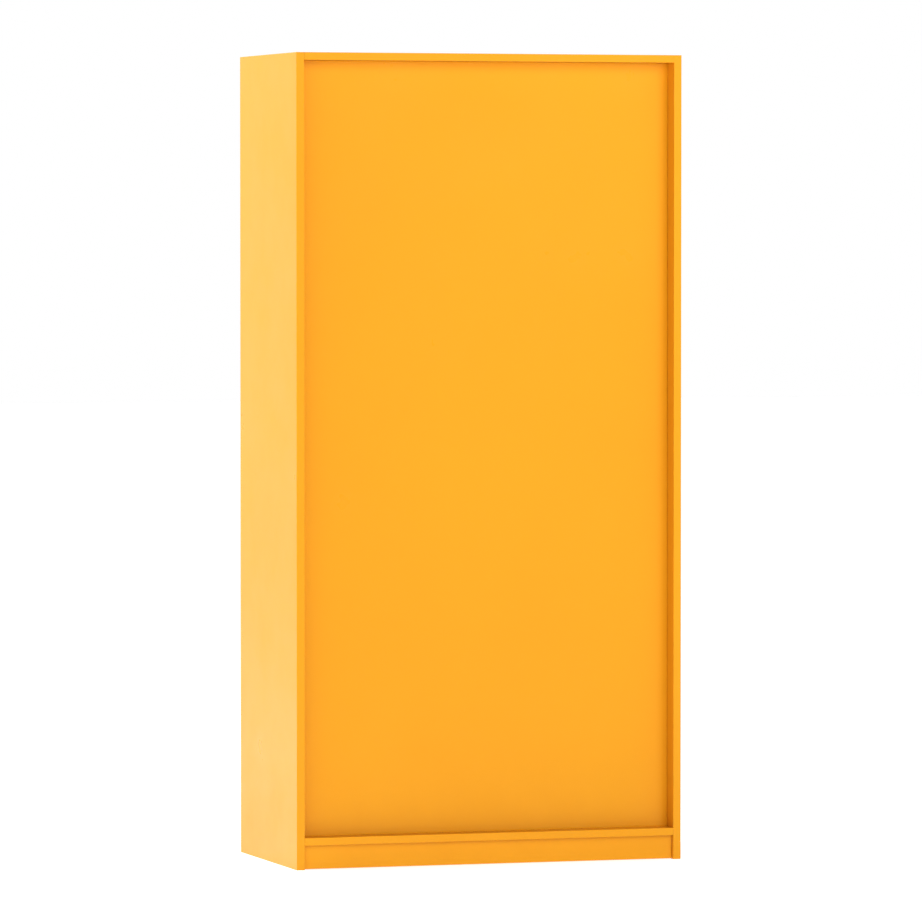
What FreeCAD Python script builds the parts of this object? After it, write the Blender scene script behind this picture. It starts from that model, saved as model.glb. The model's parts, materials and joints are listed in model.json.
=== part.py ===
import FreeCAD, Part
import math
import os

# Newspaper vending box in folded sheet steel.
#
# The front faces -Y and the back faces +Y, +Z is up, and sizes are in millimetres. The origin is on
# the ground at the centre of the shell's footprint. One shell holds a storage compartment, a paper
# compartment with a window door above it, and a coin compartment with a cash drawer at the top.

V = FreeCAD.Vector
X_AXIS, Y_AXIS, Z_AXIS = V(1, 0, 0), V(0, 1, 0), V(0, 0, 1)

# ---------------------------------------------------------------- driving dimensions: shell
HEIGHT = 1400.0
WIDTH = 697.0
DEPTH = 356.0

BODY_SHEET = 2.0          # sides, top and decks
THIN_SHEET = 1.5          # doors, rear panel, plinths and inner sheet
BEND_RADIUS = 1.5         # outside radius of the side panels' long bends
SIDE_FLANGE = 14.0        # edge of a side panel, as seen from the front or the back
RAIL = 13.0               # edge of the top and of each deck
PLINTH_HEIGHT = 42.0
PLINTH_SETBACK = 8.0
PLINTH_FOLD = 80.0        # the plinth's top fold, under the floor pan
REAR_RECESS = 33.0        # from the back edge to the rear panel's face
REAR_LIP = 15.0           # lip behind the rear panel
REAR_PANEL_GAP = 0.3
FRONT_RETURN = 28.0       # depth of the reveal round the front openings
FRONT_LIP = 12.0          # door stop at the back of that reveal
DECK_FLANGE = 20.0        # down-turned edges of a deck
FOOT_FLANGE = 62.0        # inward fold that the box stands on

STORAGE_ZONE = 525.0      # clear height of the lower opening
COIN_ZONE = 197.0         # clear height of the top opening

# ---------------------------------------------------------------- driving dimensions: doors
DOOR_THICKNESS = 22.0
DOOR_GAP = 3.0
DOOR_LIP = 18.0           # return round the open back of a door pan
DOOR_OPEN_DEG = 70.0      # the vending door meets its stops here
HINGE_ROD_R = 4.0
HINGE_PIN_R = 5.0
BUSH_LENGTH = 20.0
RUNNING_CLEARANCE = 0.05  # radial, between a shaft and what turns on it
FIT_CLEARANCE = 0.02      # radial, between a bush and its seat
SEAL_GAP = 0.4
SEAL_WIDTH = 10.0

WINDOW_SIDE_MARGIN = 81.5
WINDOW_TOP_MARGIN = 94.0
WINDOW_BOTTOM_MARGIN = 93.0
WINDOW_CORNER_R = 18.0
WINDOW_THICKNESS = 4.0
WINDOW_OVERLAP = 20.0     # how far the pane reaches past the cut-out
GASKET_LIP = 4.0
RETAINER_EDGE = 15.0      # how far the retainer reaches past the pane

HANDLE_BAR_R = 7.0
HANDLE_SPAN = 190.0
HANDLE_BEND = 16.0
HANDLE_STANDOFF = 32.0
HANDLE_DROP = 48.0        # from the door's top edge to the bar

STOP_RADIUS = 146.0       # middle of the curved stop arm
STOP_ARM_WIDTH = 12.0
STOP_ARM_THICKNESS = 3.0
STOP_TAB = 10.0
STOP_TAB_DEG = 84.0
STOP_TAB_HALF_DEG = 1.5
STOP_BOLT_R = 4.0

# ---------------------------------------------------------------- driving dimensions: inside
SHELF_RISE = 190.0        # shelf above the paper compartment's floor
UPRIGHT_DEPTH = 10.0
UPRIGHT_WIDTH = 24.0
UPRIGHT_PITCH = 40.0
SLOT_WIDTH = 3.2
SLOT_HEIGHT = 14.0

MULLION = 13.0
DRAWER_WIDTH = 135.5
DRAWER_BOX_HEIGHT = 40.0
DRAWER_WALL = 1.2
DRAWER_REAR_CLEARANCE = 41.5

MECH_WIDTH = 134.0        # outside width of the coin mechanism's frame
MECH_DEPTH = 112.0
MECH_HEIGHT = 185.0
MECH_SHEET = 2.0
COIN_WIDTH = 4.0          # clear width of the coin chute
COIN_HEIGHT = 32.0        # height of the chute at the slot
LEVER_SHAFT_R = 4.0
LATCH_TURN_DEG = 10.0     # from released to locked
LATCH_ARM = 90.0          # from the latch's shaft forward to its hook
LINK_ARM = 25.0
LINK_PIN_R = 2.0
LINK_HOLE_R = 2.8
BUTTON_R = 10.0
REJECT_PAD = 3.0          # thickness of the pad that the button pushes
REJECT_RISE = 20.0        # from the button's middle up to the reject lever's shaft
CUP_WIDTH = 70.0
CUP_HEIGHT = 58.0
CUP_DEPTH = 56.0

LOCK_BODY_R = 9.5
LOCK_PLUG_R = 6.5
LOCK_FLANGE_R = 13.0
CAM_LENGTH = 39.0
CAM_WIDTH = 14.0
CAM_THICKNESS = 2.5
CAM_GAP = 2.0             # between a cam and the back of the frame's lip

ANCHOR_HOLE_R = 6.5
ANCHOR_PLATE = 60.0
ANCHOR_PLATE_THICKNESS = 4.0

# ---------------------------------------------------------------- places worked out from them
half_w, half_d = WIDTH / 2, DEPTH / 2
front, back = -half_d, half_d
skin_in = half_w - BODY_SHEET            # inner face of a side panel's skin
reveal = half_w - SIDE_FLANGE            # half the clear width of the openings
rear_face = back - REAR_RECESS           # visible face of the rear panel
rear_panel_in = rear_face - THIN_SHEET
rear_lip_in = rear_panel_in - BODY_SHEET
front_lip_in = front + FRONT_RETURN      # back of the door stops
front_lip_out = front_lip_in - BODY_SHEET
door_in = front + DOOR_THICKNESS         # back of a closed door

floor_top = PLINTH_HEIGHT + RAIL
storage_top = floor_top + STORAGE_ZONE
paper_floor = storage_top + RAIL
top_under = HEIGHT - RAIL
stop_under = top_under - FRONT_LIP       # underside of the top panel's door stop
coin_floor = top_under - COIN_ZONE
paper_top = coin_floor - RAIL

hinge_r = DOOR_THICKNESS / 2
hinge_bore_r = hinge_r - THIN_SHEET
hinge_collar_r = hinge_r - BODY_SHEET - 1.5
hinge_y = front + hinge_r
door_half = reveal - DOOR_GAP
vend_hinge_z = paper_floor + DOOR_GAP + hinge_r
vend_top = paper_top - DOOR_GAP
storage_hinge_x = -door_half + hinge_r
storage_bottom = floor_top + DOOR_GAP
storage_door_top = storage_top - DOOR_GAP

window_half = door_half - WINDOW_SIDE_MARGIN
window_bottom = vend_hinge_z + WINDOW_BOTTOM_MARGIN
window_top = vend_top - WINDOW_TOP_MARGIN
gasket_in = front + THIN_SHEET + THIN_SHEET
pane_in = gasket_in + WINDOW_THICKNESS
retainer_in = pane_in + THIN_SHEET
handle_z = vend_top - HANDLE_DROP

stop_outer = STOP_RADIUS + STOP_ARM_WIDTH / 2
stop_inner = STOP_RADIUS - STOP_ARM_WIDTH / 2
stop_bolt_orbit = stop_outer + 1.0 + STOP_BOLT_R
stop_bolt_half_deg = math.degrees(math.asin((STOP_BOLT_R + 0.4) / stop_bolt_orbit))
stop_bolt_deg = STOP_TAB_DEG - DOOR_OPEN_DEG - STOP_TAB_HALF_DEG - stop_bolt_half_deg
stop_bolt_y = hinge_y + stop_bolt_orbit * math.sin(math.radians(stop_bolt_deg))
stop_bolt_z = vend_hinge_z + stop_bolt_orbit * math.cos(math.radians(stop_bolt_deg))
stop_arm_x = door_half - DOOR_LIP - 0.5

shelf_z = paper_floor + SHELF_RISE
upright_ys = (front_lip_in + 56.0, rear_lip_in - 46.0)

drawer_right = door_half
drawer_left = drawer_right - DRAWER_WIDTH
drawer_mid = (drawer_left + drawer_right) / 2
drawer_bottom = coin_floor + DOOR_GAP
drawer_top = top_under - DOOR_GAP
mullion_right = drawer_left - DOOR_GAP
mullion_left = mullion_right - MULLION
cash_left = drawer_left + 7.0
cash_right = reveal - FRONT_LIP - 4.5
cash_rear = rear_lip_in - DRAWER_REAR_CLEARANCE
cash_bottom = coin_floor + 3.2
cash_top = cash_bottom + DRAWER_BOX_HEIGHT
vault_top = cash_top + 4.5

panel_left, panel_right = -reveal + 0.5, mullion_left - 0.5
panel_bottom, panel_top = coin_floor + 0.5, top_under - 0.5
controls_z = top_under - 42.0            # height of the coin slot, return button and drawer lock
mech_right = mullion_left - 16.0
mech_left = mech_right - MECH_WIDTH
mech_front = front + 46.0
mech_rear = mech_front + MECH_DEPTH
coin_x = mech_right - 39.0
button_x = mech_right - 104.0
shaft_y = front + 123.0
latch_z = coin_floor + 15.0
cradle_z = coin_floor + 106.0
latch_pin_y, cradle_pin_y = shaft_y + LINK_ARM, shaft_y - LINK_ARM
lever_left = mech_left + 8.0
lever_right = lever_left + 5.0
link_left, link_right = lever_right + 2.0, lever_right + 5.0
arm_left, arm_right = link_right + 4.0, link_right + 8.0
striker_top = vend_top - 23.0
STRIKER_THICKNESS = 3.0
HOOK_CLEARANCE = 6.0      # released hook above the striker
HOOK_WIDTH = 8.0
hook_front = shaft_y - LATCH_ARM
hook_bottom = striker_top + HOOK_CLEARANCE
reject_y = front + 60.0
reject_z = controls_z + REJECT_RISE
chute_end_y = shaft_y - 24.0
chute_end_z = coin_floor + 80.0
cup_left, cup_right = coin_x - CUP_WIDTH / 2, coin_x + CUP_WIDTH / 2
cup_bottom = coin_floor + 20.0
cup_top = cup_bottom + CUP_HEIGHT
flap_z = cup_top - 7.0
flap_y = front + 4.8
card_left, card_right = panel_left + 45.0, mech_left - 14.0
card_bottom, card_top = panel_bottom + 45.0, panel_top - 45.0

storage_lock_x = door_half - 41.0
storage_lock_z = (storage_bottom + storage_door_top) / 2
cam_y = front_lip_in + CAM_GAP

anchor_x = skin_in - 32.0
anchor_y = rear_lip_in - 50.0
stud_r = 2.5
plinth_screw_xs = (-0.36 * WIDTH, 0.0, 0.36 * WIDTH)


# ---------------------------------------------------------------- helpers
def box(x0, x1, y0, y1, z0, z1):
    return Part.makeBox(x1 - x0, y1 - y0, z1 - z0, V(x0, y0, z0))


def rod(start, axis, radius, length):
    return Part.makeCylinder(radius, length, V(*start), axis)


def tube(start, axis, outer, inner, length):
    return rod(start, axis, outer, length).cut(rod(start, axis, inner, length))


def join(*shapes):
    return shapes[0].fuse(list(shapes[1:])).removeSplitter()


def cut(shape, *tools):
    return shape.cut(list(tools)).removeSplitter()


def mirrored(shape):
    return shape.mirror(V(0, 0, 0), X_AXIS)


def both_sides(*shapes):
    return [*shapes, *[mirrored(s) for s in shapes]]


def prism_x(points_yz, x0, x1):
    """An outline in the YZ plane, extruded from x0 to x1."""
    ring = [V(x0, y, z) for y, z in points_yz]
    return Part.Face(Part.makePolygon(ring + ring[:1])).extrude(V(x1 - x0, 0, 0))


def prism_y(points_xz, y0, y1):
    """An outline in the XZ plane, extruded from y0 to y1."""
    ring = [V(x, y0, z) for x, z in points_xz]
    return Part.Face(Part.makePolygon(ring + ring[:1])).extrude(V(0, y1 - y0, 0))


def round_plate(x0, x1, z0, z1, radius, y0, y1):
    """A plate facing Y with four round corners."""
    plate = box(x0, x1, y0, y1, z0, z1)
    corners = [e for e in plate.Edges if abs(e.tangentAt(e.FirstParameter).y) > 0.9]
    return plate.makeFillet(radius, corners)


def hex_nut(centre, axis, across, length, hole_r):
    """A hexagon nut with its seat at centre, standing along axis."""
    centre = V(*centre)
    side = Z_AXIS if abs(axis.z) < 0.5 else X_AXIS
    other = axis.cross(side)
    ring = []
    for k in range(6):
        angle = math.radians(60 * k + 30)
        corner = side * math.cos(angle) + other * math.sin(angle)
        ring.append(centre + corner * (across / math.sqrt(3)))
    nut = Part.Face(Part.makePolygon(ring + ring[:1])).extrude(axis * length)
    return nut.cut(rod(centre, axis, hole_r, length))


def stud_and_nut(root, axis, sheet, radius, nut_across, nut_length):
    """A welded stud through a sheet that starts at root, and the nut on the sheet's far side."""
    direction = V(axis)
    seat = V(*root) + direction * sheet
    stud = rod(root, direction, radius, sheet + nut_length + 2.0)
    return [stud, hex_nut(seat, direction, nut_across, nut_length, radius)]


def screw(seat, axis, radius, length, head_r, head_length):
    """A pan head screw: its head stands on seat along axis, and its shank runs the other way."""
    head = rod(seat, axis, head_r, head_length)
    head = head.makeFillet(head_length * 0.45, [max(head.Edges, key=lambda e: e.CenterOfMass.dot(axis))])
    return join(head, rod(seat, axis * -1, radius, length))


def arc_band(x0, x1, r_in, r_out, deg_from, deg_to):
    """A band round the vending door's hinge. Degrees count from straight up towards the back."""
    centre = (x0, hinge_y, vend_hinge_z)
    ring = tube(centre, X_AXIS, r_out, r_in, x1 - x0)
    reach = 2.0 * r_out
    points = [(hinge_y, vend_hinge_z)]
    steps = 4
    for k in range(steps + 1):
        angle = math.radians(deg_from + (deg_to - deg_from) * k / steps)
        points.append((hinge_y + reach * math.sin(angle), vend_hinge_z + reach * math.cos(angle)))
    return ring.common(prism_x(points, x0, x1))


def link_bar(x0, x1, start, end, half):
    """A flat bar with round ends between two points of the YZ plane."""
    (y0, z0), (y1, z1) = start, end
    length = math.hypot(y1 - y0, z1 - z0)
    dy, dz = (y1 - y0) * half / length, (z1 - z0) * half / length
    bar = prism_x([(y0 - dz, z0 + dy), (y1 - dz, z1 + dy), (y1 + dz, z1 - dy), (y0 + dz, z0 - dy)], x0, x1)
    return join(bar, rod((x0, y0, z0), X_AXIS, half, x1 - x0), rod((x0, y1, z1), X_AXIS, half, x1 - x0))


def coil(start, axis, mean_r, wire_r, length, turns):
    """A helical spring of round wire."""
    helix = Part.makeHelix(length / turns, length, mean_r)
    section = Part.Wire(Part.makeCircle(wire_r, V(mean_r, 0, 0), Y_AXIS))
    spring = Part.Wire(helix).makePipeShell([section], True, True)
    spring.Placement = FreeCAD.Placement(V(*start), FreeCAD.Rotation(Z_AXIS, axis))
    return spring


def turned(y, z, degrees):
    """Where a point of the latch goes when it turns about its shaft, from the shaft."""
    c, s = math.cos(math.radians(degrees)), math.sin(math.radians(degrees))
    return y * c - z * s, y * s + z * c


def even(start, end, count):
    return [start + (end - start) * k / (count - 1) for k in range(count)]


def export(name, *shapes):
    solids = [solid for shape in shapes for solid in shape.Solids]
    for solid in solids:
        if not solid.isValid() or solid.Volume <= 0:
            raise ValueError(f"{name} has a solid that isn't valid")
    body = solids[0] if len(solids) == 1 else Part.makeCompound(solids)
    body.exportStep(f"parts/{name}.step")


# ---------------------------------------------------------------- shell
rear_stud_zs = even(floor_top + 60.0, top_under - 60.0, 8)
panel_stud_zs = even(panel_bottom + 24.0, panel_top - 24.0, 3)


def side_panel():
    """The +X side: skin, edge flanges, returns, lips and foot, folded from one sheet."""
    outer = box(reveal, half_w, front, back, 0, HEIGHT)
    bends = [e for e in outer.Edges if e.Length > HEIGHT - 1 and e.CenterOfMass.x > half_w - 1e-6]
    outer = outer.makeFillet(BEND_RADIUS, bends)
    hollow = box(reveal + BODY_SHEET, skin_in, front + BODY_SHEET, back - BODY_SHEET, 0, HEIGHT)
    mouth = box(reveal, reveal + BODY_SHEET, front_lip_in, rear_lip_in, 0, HEIGHT)
    panel = join(
        cut(outer, hollow, mouth),
        box(reveal - REAR_LIP, reveal, rear_lip_in, rear_panel_in, floor_top, top_under),
        box(reveal - FRONT_LIP, reveal, front_lip_out, front_lip_in, floor_top, top_under),
        box(skin_in - FOOT_FLANGE, skin_in, front_lip_in, rear_lip_in, 0, BODY_SHEET),
    )
    holes = [rod((reveal - 1, hinge_y, vend_hinge_z), X_AXIS, HINGE_ROD_R, BODY_SHEET + 2)]
    for y in (-anchor_y, anchor_y):
        holes.append(rod((anchor_x, y, -1), Z_AXIS, ANCHOR_HOLE_R, BODY_SHEET + 2))
    for z in rear_stud_zs:
        holes.append(rod((reveal - REAR_LIP / 2, rear_lip_in - 1, z), Y_AXIS, stud_r, BODY_SHEET + 2))
    return cut(panel, *holes)


def side_panel_left(right):
    """The -X side also carries the coin panel's studs."""
    holes = [
        rod((-reveal + FRONT_LIP / 2, front_lip_out - 1, z), Y_AXIS, stud_r, BODY_SHEET + 2)
        for z in panel_stud_zs
    ]
    return cut(mirrored(right), *holes)


def front_rail(z_top, z_lip):
    """The rail at the front edge of a deck, with its door stop down to z_lip."""
    under = z_top - RAIL
    return [
        box(-reveal, reveal, front, front + BODY_SHEET, under, z_top),
        box(-reveal, reveal, front, front_lip_in, under, under + BODY_SHEET),
        box(-reveal, reveal, front_lip_out, front_lip_in, z_lip, under),
        box(-reveal, reveal, front, front_lip_in, z_top - BODY_SHEET, z_top),
    ]


def deck(z_top, sides, *holes):
    """A shelf across the shell: front rail, plate, and flanges turned down at the sides and back."""
    edge = z_top - DECK_FLANGE
    plate = join(
        *front_rail(z_top, z_top - RAIL - FRONT_LIP),
        box(-skin_in, skin_in, front_lip_in, rear_lip_in, z_top - BODY_SHEET, z_top),
        box(-skin_in, -skin_in + BODY_SHEET, front_lip_in, rear_lip_in, edge, z_top),
        box(skin_in - BODY_SHEET, skin_in, front_lip_in, rear_lip_in, edge, z_top),
        box(-skin_in, skin_in, rear_lip_in - BODY_SHEET, rear_lip_in, edge, z_top),
    )
    return cut(plate, *sides, *holes)


def floor_pan(sides):
    """The lowest deck. Its edges show below the door and below the rear panel."""
    plate = join(
        box(-reveal, reveal, front, back, floor_top - BODY_SHEET, floor_top),
        box(-skin_in, skin_in, front_lip_in, rear_lip_in, floor_top - BODY_SHEET, floor_top),
        box(-reveal, reveal, front, front + BODY_SHEET, PLINTH_HEIGHT, floor_top),
        box(-reveal, reveal, back - BODY_SHEET, back, PLINTH_HEIGHT, floor_top),
    )
    holes = [rod((storage_hinge_x, hinge_y, PLINTH_HEIGHT), Z_AXIS, HINGE_PIN_R, RAIL + 1)]
    for x in plinth_screw_xs:
        for y in plinth_screw_ys():
            holes.append(rod((x, y, PLINTH_HEIGHT), Z_AXIS, stud_r, RAIL + 1))
    return cut(plate, *sides, *holes)


def top_panel(sides):
    z = HEIGHT - BODY_SHEET
    plate = join(
        box(-skin_in, skin_in, front, back, z, HEIGHT),
        *front_rail(HEIGHT, top_under - FRONT_LIP),
        box(-reveal, reveal, back - BODY_SHEET, back, top_under, HEIGHT),
        box(-reveal, reveal, rear_lip_in, back, top_under, top_under + BODY_SHEET),
        box(-reveal, reveal, rear_lip_in, rear_panel_in, top_under - REAR_LIP, top_under),
    )
    return cut(plate, *sides)


def rear_panel():
    """The plain recessed back, folded in at its foot to stand on the floor pan."""
    half = reveal - REAR_PANEL_GAP
    fold_half = reveal - REAR_LIP - 1.0
    return join(
        box(-half, half, rear_panel_in, rear_face, floor_top, top_under - REAR_PANEL_GAP),
        box(-fold_half, fold_half, rear_panel_in - REAR_LIP, rear_face, floor_top, floor_top + THIN_SHEET),
    )


def rear_panel_stiffeners():
    """Hat sections spot-welded to the rear panel's inside, one pair in each compartment."""
    half, depth, foot = 18.0, 12.0, 12.0
    wall_in = rear_panel_in - depth
    solids = []
    for z0, z1 in ((floor_top + 30.0, storage_top - 20.0), (paper_floor + 20.0, paper_top - 30.0)):
        hat = join(
            box(-half, half, wall_in, wall_in + THIN_SHEET, z0, z1),
            box(-half, -half + THIN_SHEET, wall_in, rear_panel_in, z0, z1),
            box(half - THIN_SHEET, half, wall_in, rear_panel_in, z0, z1),
            box(-half - foot, -half + THIN_SHEET, rear_panel_in - THIN_SHEET, rear_panel_in, z0, z1),
            box(half - THIN_SHEET, half + foot, rear_panel_in - THIN_SHEET, rear_panel_in, z0, z1),
        )
        for x in (-reveal / 3, reveal / 3):
            solids.append(hat.translated(V(x, 0, 0)))
    return solids


def panel_fixings():
    """Studs and nuts that hold the rear panel and the coin panel to the lips behind them."""
    solids = []
    for z in rear_stud_zs:
        root = (reveal - REAR_LIP / 2, rear_panel_in, z)
        solids += both_sides(*stud_and_nut(root, Y_AXIS * -1, BODY_SHEET, stud_r, 8.0, 4.0))
    for x in (-reveal + FRONT_LIP / 2, mullion_left - FRONT_LIP / 2):
        for z in panel_stud_zs:
            solids += stud_and_nut((x, front_lip_out, z), Y_AXIS, BODY_SHEET, stud_r, 8.0, 4.0)
    return solids


def plinth_screw_ys():
    return (front + PLINTH_FOLD - 10.0, back - PLINTH_FOLD + 10.0)


def plinth(direction):
    """A kick plate. direction is -1 at the front and 1 at the back."""
    half = reveal - 0.4
    face = direction * (half_d - PLINTH_SETBACK)
    inner = face - direction * THIN_SHEET
    fold = direction * (half_d - PLINTH_FOLD)
    under = floor_top - BODY_SHEET
    plate = join(
        box(-half, half, min(face, inner), max(face, inner), 1.0, under),
        box(-half, half, min(face, fold), max(face, fold), under - THIN_SHEET, under),
    )
    y = plinth_screw_ys()[0 if direction < 0 else 1]
    holes = [rod((x, y, under - 3), Z_AXIS, stud_r, 5) for x in plinth_screw_xs]
    return cut(plate, *holes)


def deck_screws():
    """Screws and nuts through the floor pan and the plinths, and through the coin deck."""
    places = [(x, y, floor_top, THIN_SHEET, 0.0) for x in plinth_screw_xs for y in plinth_screw_ys()]
    places += [(x, y, coin_floor, 0.0, MECH_SHEET) for x, y in mech_screw_places()]
    solids = []
    for x, y, z, below, above in places:
        solids.append(screw((x, y, z + above), Z_AXIS, stud_r, 10.0 + above, 4.5, 2.6))
        solids.append(hex_nut((x, y, z - BODY_SHEET - below), Z_AXIS * -1, 8.0, 4.0, stud_r))
    return solids


def anchor_plates():
    """Thick washer plates welded over the anchor holes in the feet."""
    half = ANCHOR_PLATE / 2
    z0, z1 = BODY_SHEET, BODY_SHEET + ANCHOR_PLATE_THICKNESS
    solids = []
    for y in (-anchor_y, anchor_y):
        plate = box(anchor_x - half, anchor_x + half, y - half, y + half, z0, z1)
        plate = cut(plate, rod((anchor_x, y, z0 - 1), Z_AXIS, ANCHOR_HOLE_R, ANCHOR_PLATE_THICKNESS + 2))
        solids += both_sides(plate)
    return solids


def mullion():
    """The post between the coin panel and the cash drawer."""
    post = join(
        box(mullion_left, mullion_right, front, front + BODY_SHEET, coin_floor, top_under),
        box(mullion_left, mullion_left + BODY_SHEET, front, front_lip_in, coin_floor, top_under),
        box(mullion_right - BODY_SHEET, mullion_right, front, front_lip_in, coin_floor, top_under),
        box(mullion_left - FRONT_LIP, mullion_left, front_lip_out, front_lip_in, coin_floor, stop_under),
        box(mullion_right, mullion_right + 6.0, front_lip_out, front_lip_in, coin_floor, stop_under),
    )
    behind_stop = box(mullion_left, mullion_right, front_lip_out, front_lip_in, stop_under, top_under)
    holes = [
        rod((mullion_left - FRONT_LIP / 2, front_lip_out - 1, z), Y_AXIS, stud_r, BODY_SHEET + 2)
        for z in panel_stud_zs
    ]
    return cut(post, behind_stop, *holes)


# ---------------------------------------------------------------- door pans
def door_pan(x0, x1, z0, z1, depth_in):
    """A sheet pan with its face at the front and a lip round its open back."""
    t = THIN_SHEET
    shell = box(x0, x1, front, depth_in, z0, z1)
    cavity = box(x0 + t, x1 - t, front + t, depth_in - t, z0 + t, z1 - t)
    lip = DOOR_LIP
    opening = box(x0 + lip, x1 - lip, depth_in - 2 * t, depth_in + 1, z0 + lip, z1 - lip)
    return shell, cavity, opening


def vend_door_pan():
    """The window door's pan. Its foot is rolled round the hinge rod."""
    t = THIN_SHEET
    start = (-door_half, hinge_y, vend_hinge_z)
    foot = vend_hinge_z + hinge_r
    shell = join(
        box(-door_half, door_half, front, door_in, vend_hinge_z, vend_top),
        rod(start, X_AXIS, hinge_r, 2 * door_half),
    )
    cavity = box(-door_half + t, door_half - t, front + t, door_in - t, foot, vend_top - t)
    side, foot_lip = door_half - DOOR_LIP, foot + DOOR_LIP
    opening = box(-side, side, door_in - 2 * t, door_in + 1, foot_lip, vend_top - DOOR_LIP)
    bore = rod(start, X_AXIS, hinge_bore_r, 2 * door_half)
    window = round_plate(
        -window_half, window_half, window_bottom, window_top, WINDOW_CORNER_R, front - 1, front + t + 1
    )
    holes = [
        rod((x, front - 1, handle_z), Y_AXIS, 3.0, t + 2)
        for x in (-HANDLE_SPAN / 2, HANDLE_SPAN / 2)
    ]
    return cut(shell, cavity, opening, bore, window, *holes)


def window_gasket():
    """Rubber that grips the cut-out's edge and lies between the skin and the pane."""
    lip, over, r = GASKET_LIP, WINDOW_OVERLAP, WINDOW_CORNER_R
    skin_back = front + THIN_SHEET
    edge = round_plate(-window_half, window_half, window_bottom, window_top, r, front - 0.6, skin_back)
    flat = round_plate(
        -window_half - over, window_half + over, window_bottom - over, window_top + over, r,
        skin_back, gasket_in,
    )
    hole = round_plate(
        -window_half + lip, window_half - lip, window_bottom + lip, window_top - lip, r - lip,
        front - 2, gasket_in + 1,
    )
    return cut(join(edge, flat), hole)


def vend_window():
    over = WINDOW_OVERLAP
    return round_plate(
        -window_half - over, window_half + over, window_bottom - over, window_top + over,
        WINDOW_CORNER_R, gasket_in, pane_in,
    )


def retainer_studs():
    """Places of the studs that clamp the window's retainer, all clear of the pane."""
    out = WINDOW_OVERLAP + RETAINER_EDGE / 2
    xs, zs = (-window_half - out, window_half + out), even(window_bottom, window_top, 3)
    places = [(x, z) for x in xs for z in zs]
    rows = (window_bottom - out, window_top + out)
    places += [(x, z) for x in (-window_half / 2, window_half / 2) for z in rows]
    return places


def window_retainer():
    """Steel frame that clamps the pane from inside."""
    out, lip = WINDOW_OVERLAP + RETAINER_EDGE, GASKET_LIP + 2.0
    frame = round_plate(
        -window_half - out, window_half + out, window_bottom - out, window_top + out,
        WINDOW_CORNER_R, pane_in, retainer_in,
    )
    hole = round_plate(
        -window_half + lip, window_half - lip, window_bottom + lip, window_top - lip,
        WINDOW_CORNER_R - lip, pane_in - 1, retainer_in + 1,
    )
    holes = [rod((x, pane_in - 1, z), Y_AXIS, stud_r, 4.0) for x, z in retainer_studs()]
    return cut(frame, hole, *holes)


def window_fixings():
    """Studs from the door's skin through the retainer, with their nuts."""
    solids = []
    skin_back = front + THIN_SHEET
    for x, z in retainer_studs():
        solids += stud_and_nut((x, skin_back, z), Y_AXIS, retainer_in - skin_back, stud_r, 8.0, 4.0)
    return solids


def vend_door_handle():
    """A bent bar: two legs, two quarter bends and the grip, with a foot plate on each leg."""
    half, bend, reach = HANDLE_SPAN / 2, HANDLE_BEND, front - HANDLE_STANDOFF
    diagonal = bend * (1 - math.cos(math.radians(45)))
    edges = [
        Part.LineSegment(V(-half, front, handle_z), V(-half, reach + bend, handle_z)),
        Part.Arc(
            V(-half, reach + bend, handle_z),
            V(-half + diagonal, reach + diagonal, handle_z),
            V(-half + bend, reach, handle_z),
        ),
        Part.LineSegment(V(-half + bend, reach, handle_z), V(half - bend, reach, handle_z)),
        Part.Arc(
            V(half - bend, reach, handle_z),
            V(half - diagonal, reach + diagonal, handle_z),
            V(half, reach + bend, handle_z),
        ),
        Part.LineSegment(V(half, reach + bend, handle_z), V(half, front, handle_z)),
    ]
    path = Part.Wire([e.toShape() for e in edges])
    section = Part.Wire(Part.makeCircle(HANDLE_BAR_R, V(-half, front, handle_z), Y_AXIS))
    bar = path.makePipeShell([section], True, False)
    feet = [rod((x, front - 3, handle_z), Y_AXIS, HANDLE_BAR_R + 5, 3) for x in (-half, half)]
    thread = [rod((x, front - 12, handle_z), Y_AXIS, 3.0, 12) for x in (-half, half)]
    return cut(join(bar, *feet), *thread)


def handle_screws():
    seat = front + THIN_SHEET
    return [
        screw((x, seat, handle_z), Y_AXIS, 3.0, THIN_SHEET + 11, 6.0, 3.2)
        for x in (-HANDLE_SPAN / 2, HANDLE_SPAN / 2)
    ]


def display_band():
    """Strip across the door's open back that keeps the sample copy against the window."""
    half = reveal - SEAL_WIDTH - 3.0
    z0 = vend_hinge_z + hinge_r + 26.0
    return join(
        box(-half, half, door_in, door_in + THIN_SHEET, z0, z0 + 52.0),
        box(-half, half, door_in, door_in + 2.2, z0 + 46.0, z0 + 52.0),
    )


def hook_hole():
    """The striker's slot: the space that the hook sweeps at the striker's level, and a little more."""
    play, ys = 2.0, []
    for step in range(6):
        degrees = LATCH_TURN_DEG * step / 5
        for y in (-LATCH_ARM, -LATCH_ARM + HOOK_WIDTH):
            for z in (hook_bottom - latch_z, striker_top - latch_z):
                moved_y, moved_z = turned(y, z, degrees)
                if moved_z < striker_top - latch_z + 0.5:
                    ys.append(shaft_y + moved_y)
    return min(ys) - play, max(ys) + play


def latch_striker():
    """Tab on the door's top lip. The latch's hook drops through its slot."""
    y0, y1 = hook_hole()
    x0, x1 = lever_left - 12.0, lever_right + 12.0
    z0 = striker_top - STRIKER_THICKNESS
    tab = join(
        box(x0, x1, door_in, y1 + 9.0, z0, striker_top),
        box(x0, x1, door_in, door_in + STRIKER_THICKNESS, z0, vend_top - 9.0),
    )
    return cut(tab, box(lever_left - 3.0, lever_right + 3.0, y0, y1, z0 - 1, striker_top + 1))


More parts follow.
